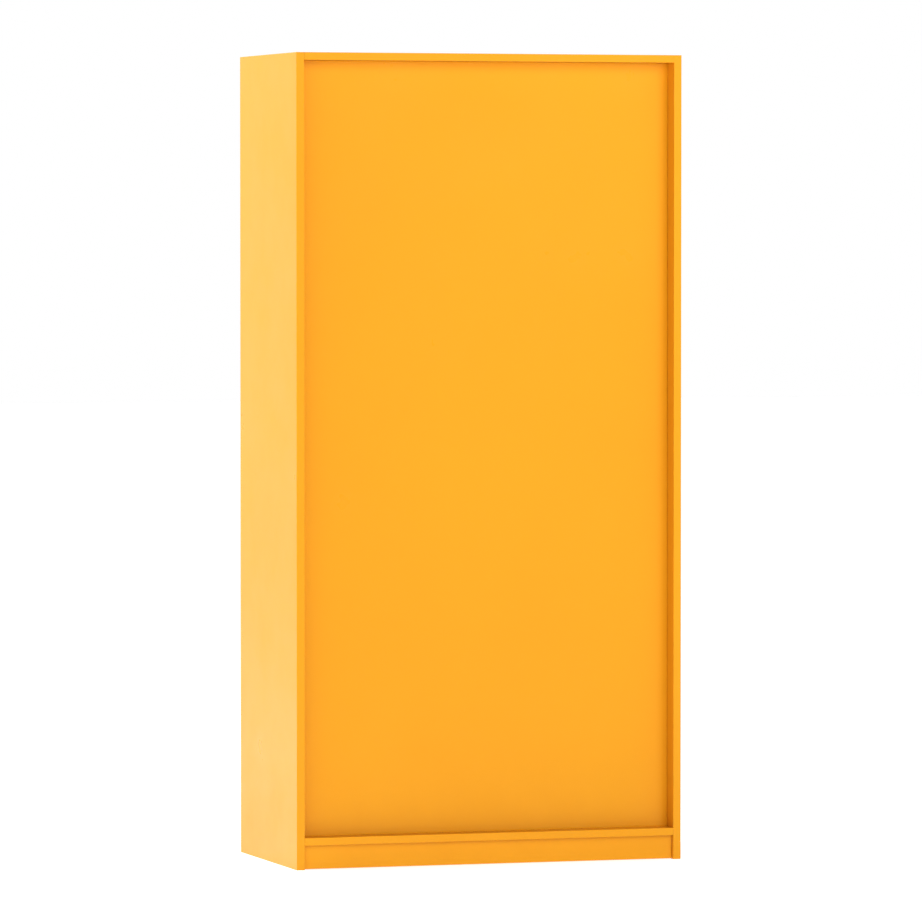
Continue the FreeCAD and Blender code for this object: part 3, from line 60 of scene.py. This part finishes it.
# ---------------------------------------------------------------- material helpers
class Look:
    """A Principled material that is put together node by node, in object coordinates."""

    def __init__(self, name, rough=0.5, metal=0.0, ior=1.45, **sockets):
        self.mat = bpy.data.materials.new(name)
        self.mat.use_nodes = True
        tree = self.mat.node_tree
        self.nodes, self.links = tree.nodes, tree.links
        self.bsdf = self.nodes["Principled BSDF"]
        self.put(self.bsdf, "Roughness", rough)
        self.put(self.bsdf, "Metallic", metal)
        self.put(self.bsdf, "IOR", ior)
        for key, value in sockets.items():
            self.put(self.bsdf, key.replace("_", " "), value)
        self.coords = self.nodes.new("ShaderNodeTexCoord").outputs["Object"]

    def put(self, node, socket, value):
        target = node.inputs[socket]
        if isinstance(value, bpy.types.NodeSocket):
            self.links.new(value, target)
        else:
            target.default_value = value

    def scaled(self, sx, sy, sz):
        node = self.nodes.new("ShaderNodeMapping")
        self.put(node, "Vector", self.coords)
        node.inputs["Scale"].default_value = (sx, sy, sz)
        return node.outputs["Vector"]

    def noise(self, scale, detail=3.0, rough=0.5, vector=None):
        node = self.nodes.new("ShaderNodeTexNoise")
        self.put(node, "Vector", vector or self.coords)
        self.put(node, "Scale", scale)
        self.put(node, "Detail", detail)
        self.put(node, "Roughness", rough)
        return node.outputs["Fac"]

    def cells(self, scale, feature="F1", output="Color"):
        node = self.nodes.new("ShaderNodeTexVoronoi")
        node.feature = feature
        self.put(node, "Vector", self.coords)
        self.put(node, "Scale", scale)
        return node.outputs[output]

    def ramp(self, factor, low, high, to_low=0.0, to_high=1.0):
        node = self.nodes.new("ShaderNodeMapRange")
        node.clamp = True
        self.put(node, "Value", factor)
        self.put(node, "From Min", low)
        self.put(node, "From Max", high)
        self.put(node, "To Min", to_low)
        self.put(node, "To Max", to_high)
        return node.outputs["Result"]

    def math(self, operation, a, b=0.0):
        node = self.nodes.new("ShaderNodeMath")
        node.operation = operation
        self.put_index(node, 0, a)
        self.put_index(node, 1, b)
        return node.outputs["Value"]

    def put_index(self, node, index, value):
        if isinstance(value, bpy.types.NodeSocket):
            self.links.new(value, node.inputs[index])
        else:
            node.inputs[index].default_value = value

    def mix(self, factor, a, b):
        """Colour a where factor is 0 and b where it is 1, each a socket or (r, g, b)."""
        node = self.nodes.new("ShaderNodeMix")
        node.data_type = "RGBA"
        self.put_index(node, MIX_FACTOR, factor)
        for index, value in ((MIX_A, a), (MIX_B, b)):
            if isinstance(value, tuple):
                value = (*value, 1.0)
            self.put_index(node, index, value)
        return node.outputs[MIX_RESULT]

    def over(self, color, other, mask, share):
        """color, with up to that share of the other colour where mask is 1."""
        return self.mix(self.math("MULTIPLY", mask, share), color, other)

    def height(self):
        node = self.nodes.new("ShaderNodeSeparateXYZ")
        self.put(node, "Vector", self.coords)
        return node.outputs["Z"]

    def edges(self, radius):
        """1 on rounded-off edges and 0 on flat faces."""
        bevel = self.nodes.new("ShaderNodeBevel")
        bevel.samples = 4
        self.put(bevel, "Radius", radius)
        geometry = self.nodes.new("ShaderNodeNewGeometry")
        dot = self.nodes.new("ShaderNodeVectorMath")
        dot.operation = "DOT_PRODUCT"
        self.links.new(bevel.outputs["Normal"], dot.inputs[0])
        self.links.new(geometry.outputs["Normal"], dot.inputs[1])
        return self.ramp(dot.outputs["Value"], 0.995, 0.80)

    def bump(self, *layers):
        """Layers of (height, distance in metres, strength), the coarsest first."""
        normal = None
        for height, distance, strength in layers:
            node = self.nodes.new("ShaderNodeBump")
            self.put(node, "Height", height)
            self.put(node, "Distance", distance)
            self.put(node, "Strength", strength)
            if normal is not None:
                self.put(node, "Normal", normal)
            normal = node.outputs["Normal"]
        self.put(self.bsdf, "Normal", normal)

    def done(self, color, rough=None):
        self.put(self.bsdf, "Base Color", (*color, 1.0) if isinstance(color, tuple) else color)
        if rough is not None:
            self.put(self.bsdf, "Roughness", rough)
        return self.mat


def powder_coat():
    look = Look("powder_coat", ior=1.24)
    base, deep, pale = (0.745, 0.312, 0.0080), (0.68, 0.268, 0.0060), (0.80, 0.36, 0.016)
    drift = look.noise(2.2, 3.0, 0.55)
    color = look.mix(look.ramp(drift, 0.3, 0.7), base, (0.730, 0.300, 0.0075))
    # Painted shade: a darker, more orange copy of the paint, in patches over the lowest 0.3 m.
    near_ground = look.ramp(look.height(), 0.30, 0.0)
    ground_shade = look.math("MULTIPLY", near_ground, look.ramp(look.noise(14.0, 6.0, 0.65), 0.35, 0.7))
    color = look.over(color, deep, ground_shade, 0.35)
    # Painted highlight: a paler copy of the paint, in patches along rounded edges.
    edge_highlight = look.math("MULTIPLY", look.edges(0.0016), look.ramp(look.noise(45.0, 4.0, 0.6), 0.45, 0.62))
    color = look.over(color, pale, edge_highlight, 0.45)
    speck = look.ramp(look.noise(900.0, 2.0, 0.5), 0.66, 0.74)
    color = look.over(color, deep, speck, 0.10)
    handled = look.noise(7.0, 5.0, 0.6)
    look.bump(
        (look.noise(1.6, 2.0), 0.0006, 0.12),
        (look.noise(420.0, 2.0, 0.55), 0.00012, 0.22),
    )
    return look.done(color, look.ramp(handled, 0.3, 0.7, 0.27, 0.36))


def chrome():
    look = Look("chrome_plate", metal=1.0)
    smear = look.noise(60.0, 4.0, 0.6)
    hair = look.noise(220.0, 3.0, 0.7, look.scaled(1.0, 1.0, 14.0))
    color = look.mix(look.ramp(smear, 0.35, 0.7), (0.80, 0.80, 0.81), (0.72, 0.73, 0.75))
    look.bump((hair, 0.00002, 0.15))
    return look.done(color, look.ramp(smear, 0.3, 0.75, 0.06, 0.17))


def zinc():
    look = Look("zinc_plate", metal=1.0)
    cloud = look.noise(55.0, 5.0, 0.6)
    color = look.mix(look.ramp(cloud, 0.3, 0.7), (0.62, 0.63, 0.60), (0.50, 0.50, 0.44))
    # Painted highlight: paler colour along rounded edges.
    color = look.over(color, (0.74, 0.74, 0.73), look.edges(0.0008), 0.5)
    look.bump((look.noise(600.0, 3.0), 0.00004, 0.3))
    return look.done(color, look.ramp(cloud, 0.3, 0.7, 0.28, 0.44))


def galvanised():
    look = Look("galvanised_steel", metal=1.0)
    grain = look.cells(85.0)
    separate = look.nodes.new("ShaderNodeSeparateColor")
    look.put(separate, "Color", grain)
    cell = separate.outputs["Red"]
    color = look.mix(cell, (0.50, 0.52, 0.54), (0.63, 0.65, 0.66))
    stain = look.ramp(look.noise(9.0, 5.0, 0.6), 0.5, 0.75)
    color = look.over(color, (0.42, 0.43, 0.42), stain, 0.4)
    look.bump((look.noise(300.0, 3.0), 0.00005, 0.25))
    return look.done(color, look.ramp(cell, 0.0, 1.0, 0.32, 0.52))


def brushed_stainless():
    look = Look("brushed_stainless", metal=1.0)
    lines = look.noise(40.0, 6.0, 0.75, look.scaled(1.0, 30.0, 30.0))
    color = look.mix(look.ramp(lines, 0.3, 0.7), (0.60, 0.60, 0.59), (0.70, 0.70, 0.69))
    look.bump((lines, 0.00003, 0.4))
    return look.done(color, look.ramp(lines, 0.3, 0.7, 0.24, 0.38))


def brass():
    look = Look("lock_brass", metal=1.0)
    tarnish = look.noise(160.0, 5.0, 0.6)
    color = look.mix(look.ramp(tarnish, 0.35, 0.7), (0.74, 0.56, 0.26), (0.50, 0.37, 0.16))
    look.bump((look.noise(900.0, 3.0), 0.00002, 0.3))
    return look.done(color, look.ramp(tarnish, 0.3, 0.7, 0.22, 0.42))


def rubber():
    look = Look("black_rubber", ior=1.5)
    bloom = look.ramp(look.noise(24.0, 5.0, 0.6), 0.45, 0.75)
    color = look.over((0.016, 0.016, 0.017), (0.045, 0.044, 0.042), bloom, 0.6)
    look.bump((look.noise(700.0, 3.0, 0.6), 0.00006, 0.35))
    return look.done(color, look.ramp(bloom, 0.0, 1.0, 0.58, 0.78))


def black_plastic():
    look = Look("black_plastic", ior=1.46)
    leather = look.cells(900.0, "F1", "Distance")
    tone = look.noise(30.0, 4.0)
    color = look.mix(look.ramp(tone, 0.3, 0.7), (0.018, 0.018, 0.020), (0.030, 0.030, 0.032))
    look.bump((leather, 0.00008, 0.35))
    return look.done(color, look.ramp(tone, 0.3, 0.7, 0.40, 0.55))


def nylon():
    look = Look("nylon", ior=1.53, Subsurface_Weight=0.08)
    tone = look.noise(80.0, 4.0)
    color = look.mix(look.ramp(tone, 0.3, 0.7), (0.80, 0.78, 0.71), (0.72, 0.69, 0.60))
    look.bump((look.noise(800.0, 2.0), 0.00003, 0.3))
    return look.done(color, look.ramp(tone, 0.3, 0.7, 0.42, 0.55))


def clear_pane():
    look = Look("clear_pane", rough=0.03, ior=1.49, Transmission_Weight=1.0, Alpha=0.30)
    haze = look.noise(18.0, 6.0, 0.65)
    hair = look.noise(160.0, 3.0, 0.7, look.scaled(0.4, 1.0, 6.0))
    look.bump((hair, 0.00001, 0.12))
    color = look.mix(look.ramp(haze, 0.3, 0.7), (0.965, 0.975, 0.975), (0.94, 0.955, 0.955))
    return look.done(color, look.ramp(haze, 0.4, 0.75, 0.015, 0.07))


def card_stock():
    look = Look("card_stock", ior=1.4)
    fibre = look.noise(500.0, 4.0, 0.7, look.scaled(1.0, 1.0, 2.6))
    tone = look.noise(12.0, 4.0)
    color = look.mix(look.ramp(fibre, 0.3, 0.7), (0.84, 0.82, 0.76), (0.78, 0.75, 0.68))
    color = look.over(color, (0.74, 0.70, 0.60), look.ramp(tone, 0.5, 0.8), 0.35)
    look.bump((fibre, 0.00005, 0.4))
    return look.done(color, look.ramp(tone, 0.3, 0.7, 0.80, 0.92))


LOOKS = {
    "shell_paint": powder_coat(),
    "zinc_plated_steel": zinc(),
    "galvanised_sheet": galvanised(),
    "chrome": chrome(),
    "stainless_cup": brushed_stainless(),
    "lock_brass": brass(),
    "black_plastic": black_plastic(),
    "black_rubber": rubber(),
    "nylon": nylon(),
    "clear_polycarbonate": clear_pane(),
    "card_stock": card_stock(),
}


# ---------------------------------------------------------------- piece helpers
SAME_POINT = 2e-6       # metres: nearer corners of a CAD mesh are one point
SAME_PLANE = 0.4        # degrees: triangles that meet at less are one face
SHARP_EDGE = 40         # degrees: edges that turn by more are rounded off
SMOOTH_EDGE = 35        # degrees: faces that meet at less are shaded as one surface


def finish_piece(obj, body, slot, *nodes):
    """Materials, body, and hiding the CAD nodes that the piece stands for."""
    obj.data.materials.clear()
    obj.data.materials.append(LOOKS[slot])
    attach(obj, body)
    if nodes:
        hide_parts(*nodes)
    return obj


def smooth_by_angle(mesh, degrees):
    """Smooth shading with sharp edges where two faces meet at more than degrees."""
    bm = bmesh.new()
    bm.from_mesh(mesh)
    limit = math.radians(degrees)
    for face in bm.faces:
        face.smooth = True
    for edge in bm.edges:
        edge.smooth = len(edge.link_faces) == 2 and edge.calc_face_angle(math.pi) < limit
    bm.to_mesh(mesh)
    bm.free()


def from_bmesh(name, bm, degrees=SMOOTH_EDGE):
    mesh = bpy.data.meshes.new(name)
    bm.to_mesh(mesh)
    bm.free()
    smooth_by_angle(mesh, degrees)
    obj = bpy.data.objects.new(name, mesh)
    scene.collection.objects.link(obj)
    return obj


def softened(node, width, shortest):
    """The CAD node's shape, its sharp edges longer than shortest rounded off over width."""
    source = NODES[node]
    bm = bmesh.new()
    bm.from_mesh(source.data)
    bmesh.ops.remove_doubles(bm, verts=bm.verts, dist=SAME_POINT)
    bmesh.ops.dissolve_limit(bm, angle_limit=math.radians(SAME_PLANE), verts=bm.verts, edges=bm.edges)
    chosen = [
        e for e in bm.edges
        if len(e.link_faces) == 2
        and e.calc_length() > shortest
        and e.calc_face_angle(0.0) > math.radians(SHARP_EDGE)
    ]
    bmesh.ops.bevel(
        bm, geom=chosen, offset=width, offset_type="OFFSET", segments=2, profile=0.5,
        affect="EDGES", clamp_overlap=False, miter_outer="SHARP", harden_normals=False,
    )
    obj = from_bmesh("soft_" + node, bm)
    flat = obj.modifiers.new("flat_faces", "WEIGHTED_NORMAL")
    flat.mode, flat.weight, flat.keep_sharp = "FACE_AREA", 100, True
    return finish_piece(obj, BODY_OF[node], SLOT_OF[node], node)


# ---------------------------------------------------------------- materials of the CAD nodes
for name, obj in NODES.items():
    if not obj.material_slots:
        obj.data.materials.append(None)
    for material_slot in obj.material_slots:
        material_slot.material = LOOKS[SLOT_OF[name]]

# How far in mm each sheet and hardware node is rounded off. Edges shorter than the length given with the
# table's loop stay sharp, so small holes and notches keep their shape.
SHEET_PIECES = {
    "side_panel_right": 0.5, "side_panel_left": 0.5, "top_panel": 0.5, "floor_pan": 0.5,
    "middle_deck": 0.5, "coin_deck": 0.5, "rear_panel": 0.3, "rear_panel_stiffeners": 0.4,
    "front_plinth": 0.4, "rear_plinth": 0.4, "coin_mullion": 0.5, "vend_door_pan": 0.6,
    "storage_door_pan": 0.6, "coin_panel": 0.6, "cash_drawer_front": 0.6, "vault_cover": 0.25,
    "cash_drawer_box": 0.25, "paper_shelf": 0.3, "shelf_brackets": 0.3, "shelf_uprights": 0.3,
    "coin_mech_frame": 0.25, "coin_chute": 0.15, "cash_chute": 0.15, "display_band": 0.2,
    "window_retainer": 0.2,
}
for node, width in SHEET_PIECES.items():
    softened(node, width * MM, shortest=9 * MM)

HARDWARE = {
    "coin_slot_plate": 0.35, "coin_return_button": 0.25, "button_bezel": 0.3, "coin_return_cup": 0.25,
    "coin_return_flap": 0.2, "drawer_lock_body": 0.3, "drawer_lock_plug": 0.2, "storage_lock_body": 0.4,
    "drawer_lock_cam": 0.2, "storage_lock_cam": 0.3, "latch_striker": 0.3, "latch_lever": 0.25,
    "reject_lever": 0.2, "coin_cradle": 0.2, "latch_link": 0.15, "door_stop_arms": 0.3,
    "door_stop_bolts": 0.3, "anchor_plates": 0.4, "card_window": 0.25, "title_card": 0.12,
    "storage_handle": 0.6, "panel_fixings": 0.2, "deck_screws": 0.2, "window_fixings": 0.15,
    "storage_hinge_pins": 0.3, "vend_hinge_rod": 0.3,
}
for node, width in HARDWARE.items():
    softened(node, width * MM, shortest=1.2 * MM)


# ---------------------------------------------------------------- pieces in mesh code
def round_frame(half_x, z0, z1, radius, steps=12):
    """Points of a round-cornered rectangle in the XZ plane, each with its outward direction."""
    corners = (
        (half_x - radius, z1 - radius, 0), (-half_x + radius, z1 - radius, 90),
        (-half_x + radius, z0 + radius, 180), (half_x - radius, z0 + radius, 270),
    )
    points = []
    for cx, cz, start in corners:
        for i in range(steps + 1):
            angle = math.radians(start + 90 * i / steps)
            out = (math.cos(angle), math.sin(angle))
            points.append((cx + radius * out[0], cz + radius * out[1], *out))
    return points


def join_rings(bm, rings):
    """Faces between each ring of points and the next one."""
    for ring, following in zip(rings, rings[1:]):
        for i in range(len(ring)):
            k = (i + 1) % len(ring)
            bm.faces.new((ring[i], ring[k], following[k], following[i]))


def sweep(name, points, profile, closed):
    """A profile of (outward, y) pairs carried along (x, z, outward x, outward z) points."""
    bm = bmesh.new()
    rings = [
        [bm.verts.new((x + nx * out, y, z + nz * out)) for out, y in profile]
        for x, z, nx, nz in points
    ]
    join_rings(bm, rings + rings[:1] if closed else rings)
    if not closed:
        bm.faces.new(rings[0])
        bm.faces.new(rings[-1])
    bmesh.ops.recalc_face_normals(bm, faces=bm.faces)
    return from_bmesh(name, bm)


GASKET_FLANGE = 20 * MM     # from the window opening's edge to the gasket's outer edge
WINDOW_CORNER = 18 * MM     # radius of the window opening's corners


def window_gasket():
    """Rubber round the window's edge: a rounded nose outside, a flat flange behind the skin.

    The profile is in mm: outward from the opening's edge, and the model's y."""
    profile_mm = (
        (19.5, -176.5), (0.0, -176.5), (0.0, -178.0), (-0.5, -178.42), (-1.3, -178.6), (-2.2, -178.52),
        (-3.1, -178.1), (-3.7, -177.4), (-4.0, -176.5), (-4.0, -175.02), (19.5, -175.02),
    )
    low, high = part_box("window_gasket")
    opening = (high[0] - GASKET_FLANGE, low[2] + GASKET_FLANGE, high[2] - GASKET_FLANGE)
    bead = sweep(
        "gasket_bead", round_frame(*opening, WINDOW_CORNER), [(a * MM, b * MM) for a, b in profile_mm],
        closed=True,
    )
    finish_piece(bead, "vend_door", "black_rubber", "window_gasket")


def socket_screw(name, centre, radius, height):
    """A domed screw head facing -Y, with a six-sided socket.

    Each step of the outline is a share of the radius, a share of the height and whether it has six sides."""
    bm = bmesh.new()
    outline = (
        (1.0, 0.0, False), (1.0, 0.22, False), (0.96, 0.42, False), (0.86, 0.66, False),
        (0.72, 0.84, False), (0.58, 0.95, False), (0.50, 0.985, False),
        (0.44, 0.99, True), (0.42, 0.92, True), (0.41, 0.35, True),
    )
    count = 36
    rings = []
    for share, rise, six_sided in outline:
        ring = []
        for i in range(count):
            angle = 2 * math.pi * i / count
            reach = share * radius
            if six_sided:
                reach *= math.cos(math.pi / 6) / math.cos((angle % (math.pi / 3)) - math.pi / 6)
            ring.append(bm.verts.new((
                centre[0] + reach * math.cos(angle), centre[1] - rise * height,
                centre[2] + reach * math.sin(angle),
            )))
        rings.append(ring)
    join_rings(bm, rings)
    bm.faces.new(rings[-1])
    bm.faces.new(list(reversed(rings[0])))
    bmesh.ops.recalc_face_normals(bm, faces=bm.faces)
    return from_bmesh(name, bm, degrees=30)


SEAL_WIDTH = 10 * MM
SEAL_CROWN = 0.62           # share of the seal's thickness that its crown takes


def door_seal(node):
    """A crowned rubber strip up one side of a door opening, across under the rail, and down again."""
    low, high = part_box(node)
    half = SEAL_WIDTH / 2
    path = (
        (low[0] + half, low[2], -1, 0), (low[0] + half, high[2] - half, -1, 1),
        (high[0] - half, high[2] - half, 1, 1), (high[0] - half, low[2], 1, 0),
    )
    crown = SEAL_CROWN * (high[1] - low[1])
    profile = [(-half, high[1]), (-half, low[1] + crown)]
    steps = 12
    for i in range(1, steps):
        angle = math.pi * (1 - i / steps)
        profile.append((half * math.cos(angle), low[1] + crown * (1 - math.sin(angle))))
    profile += [(half, low[1] + crown), (half, high[1])]
    strip = sweep("crowned_" + node, path, profile, closed=False)
    return finish_piece(strip, "cabinet", "black_rubber", node)


window_gasket()
door_seal("vend_door_seal")
door_seal("storage_door_seal")

SCREW_RADIUS, SCREW_HEIGHT, SCREW_FROM_CENTRE = 3.4 * MM, 1.6 * MM, 22 * MM
plate_low, plate_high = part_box("coin_slot_plate")
plate_middle = (plate_low + plate_high) / 2
for index, shift in enumerate((-SCREW_FROM_CENTRE, SCREW_FROM_CENTRE)):
    seat = (plate_middle[0], plate_low[1], plate_middle[2] + shift)
    screw = socket_screw("slot_plate_screw_%d" % index, seat, SCREW_RADIUS, SCREW_HEIGHT)
    finish_piece(screw, "cabinet", "zinc_plated_steel")


# ---------------------------------------------------------------- camera
# Solved from the photo's edges. Lengths are shares of the box's height, angles are in radians.
H = 1.4
YAW, PITCH = 0.3070834, 0.0346204
DISTANCE, SIDEWAYS, UPWARDS = 8.3313, 0.00178, -0.00541
FOCAL_PIXELS, IMAGE_PIXELS, SENSOR_MM = 6663.0, 922.0, 36.0
toward = Vector((
    -math.sin(YAW) * math.cos(PITCH), -math.cos(YAW) * math.cos(PITCH), -math.sin(PITCH),
))
right = Vector((-math.cos(YAW), math.sin(YAW), 0.0))
up = right.cross(toward)
place = Vector((0, 0, H / 2)) - toward * (DISTANCE * H) + right * (SIDEWAYS * H) + up * (UPWARDS * H)
camera_data = bpy.data.cameras.new("camera")
camera = bpy.data.objects.new("camera", camera_data)
scene.collection.objects.link(camera)
camera_data.sensor_width = SENSOR_MM
camera_data.lens = SENSOR_MM * FOCAL_PIXELS / IMAGE_PIXELS
camera_data.clip_start, camera_data.clip_end = 0.05, 200.0
camera.matrix_world = Matrix((
    (right.x, up.x, -toward.x, place.x),
    (right.y, up.y, -toward.y, place.y),
    (right.z, up.z, -toward.z, place.z),
    (0, 0, 0, 1),
))
scene.camera = camera


# ---------------------------------------------------------------- studio
SKY_DIM = 0.42              # brightness overhead
BACK_DIM = 0.25             # brightness on the +Y side, apart from the soft box
SOFT_BOX = 1.40             # brightness of the soft box
FLOOR_GLOW = 0.63           # lifts the floor to the photo's white


def studio_world():
    """Light by direction: white at the horizon and on the -Y side, dimmer overhead and on the +Y side,
    and a wide soft box in front of the back."""
    world = bpy.data.worlds.new("studio")
    world.use_nodes = True
    scene.world = world
    nodes, links = world.node_tree.nodes, world.node_tree.links
    split = nodes.new("ShaderNodeSeparateXYZ")
    links.new(nodes.new("ShaderNodeTexCoord").outputs["Generated"], split.inputs[0])

    def step(axis, low, high, start, end):
        """start where the direction's part along axis is under low, end where it is over high."""
        node = nodes.new("ShaderNodeMapRange")
        node.interpolation_type = "SMOOTHSTEP"
        for name, amount in zip(("From Min", "From Max", "To Min", "To Max"), (low, high, start, end)):
            node.inputs[name].default_value = amount
        links.new(split.outputs[axis], node.inputs["Value"])
        return node.outputs["Result"]

    def math_node(kind, a, b):
        node = nodes.new("ShaderNodeMath")
        node.operation = kind
        links.new(a, node.inputs[0])
        links.new(b, node.inputs[1])
        return node.outputs[0]

    overhead = step("Z", 0.30, 0.66, 1.0, SKY_DIM)
    surround = math_node("MULTIPLY", step("Y", -0.10, 0.10, 1.0, BACK_DIM), overhead)
    horizon = step("Z", 0.03, 0.09, 1.0, 0.0)
    surround = math_node("MAXIMUM", surround, horizon)
    box_left, box_right = step("X", -0.44, -0.28, 0.0, 1.0), step("X", 0.72, 0.86, 1.0, 0.0)
    box_top, box_depth = step("Z", 0.38, 0.56, 1.0, 0.0), step("Y", 0.30, 0.50, 0.0, SOFT_BOX)
    across = math_node("MULTIPLY", box_left, box_right)
    soft_box = math_node("MULTIPLY", across, math_node("MULTIPLY", box_top, box_depth))
    total = math_node("ADD", surround, soft_box)
    nodes["Background"].inputs["Color"].default_value = (1, 1, 1, 1)
    links.new(total, nodes["Background"].inputs["Strength"])


def soft_lamp(name, location, target, size, power):
    data = bpy.data.lights.new(name, "AREA")
    data.shape, data.size, data.energy = "DISK", size, power
    lamp = bpy.data.objects.new(name, data)
    scene.collection.objects.link(lamp)
    lamp.location = location
    lamp.rotation_euler = (Vector(target) - Vector(location)).to_track_quat("-Z", "Y").to_euler()
    return lamp


def studio():
    floor_look = Look("studio_floor", rough=0.9, ior=1.1)
    tone = floor_look.noise(1.2, 2.0)
    color = floor_look.mix(tone, (0.93, 0.93, 0.93), (0.91, 0.91, 0.915))
    floor_look.put(floor_look.bsdf, "Emission Color", (1, 1, 1, 1))
    floor_look.put(floor_look.bsdf, "Emission Strength", FLOOR_GLOW)
    bm = bmesh.new()
    bmesh.ops.create_grid(bm, x_segments=8, y_segments=8, size=30.0)
    floor = from_bmesh("studio_floor", bm)
    floor.data.materials.append(floor_look.done(color))

    studio_world()

    soft_lamp("side_fill", (4.2, -1.9, 3.1), (0.35, 0, 0.9), 3.0, 222.0)
    back_key = soft_lamp("back_key", (-0.9, 2.5, 1.95), (0, 0.2, 1.0), 2.0, 38.0)
    back_key.visible_glossy = False     # the top panel would mirror it as a white sheet
    scene.view_settings.view_transform = "Standard"


studio()
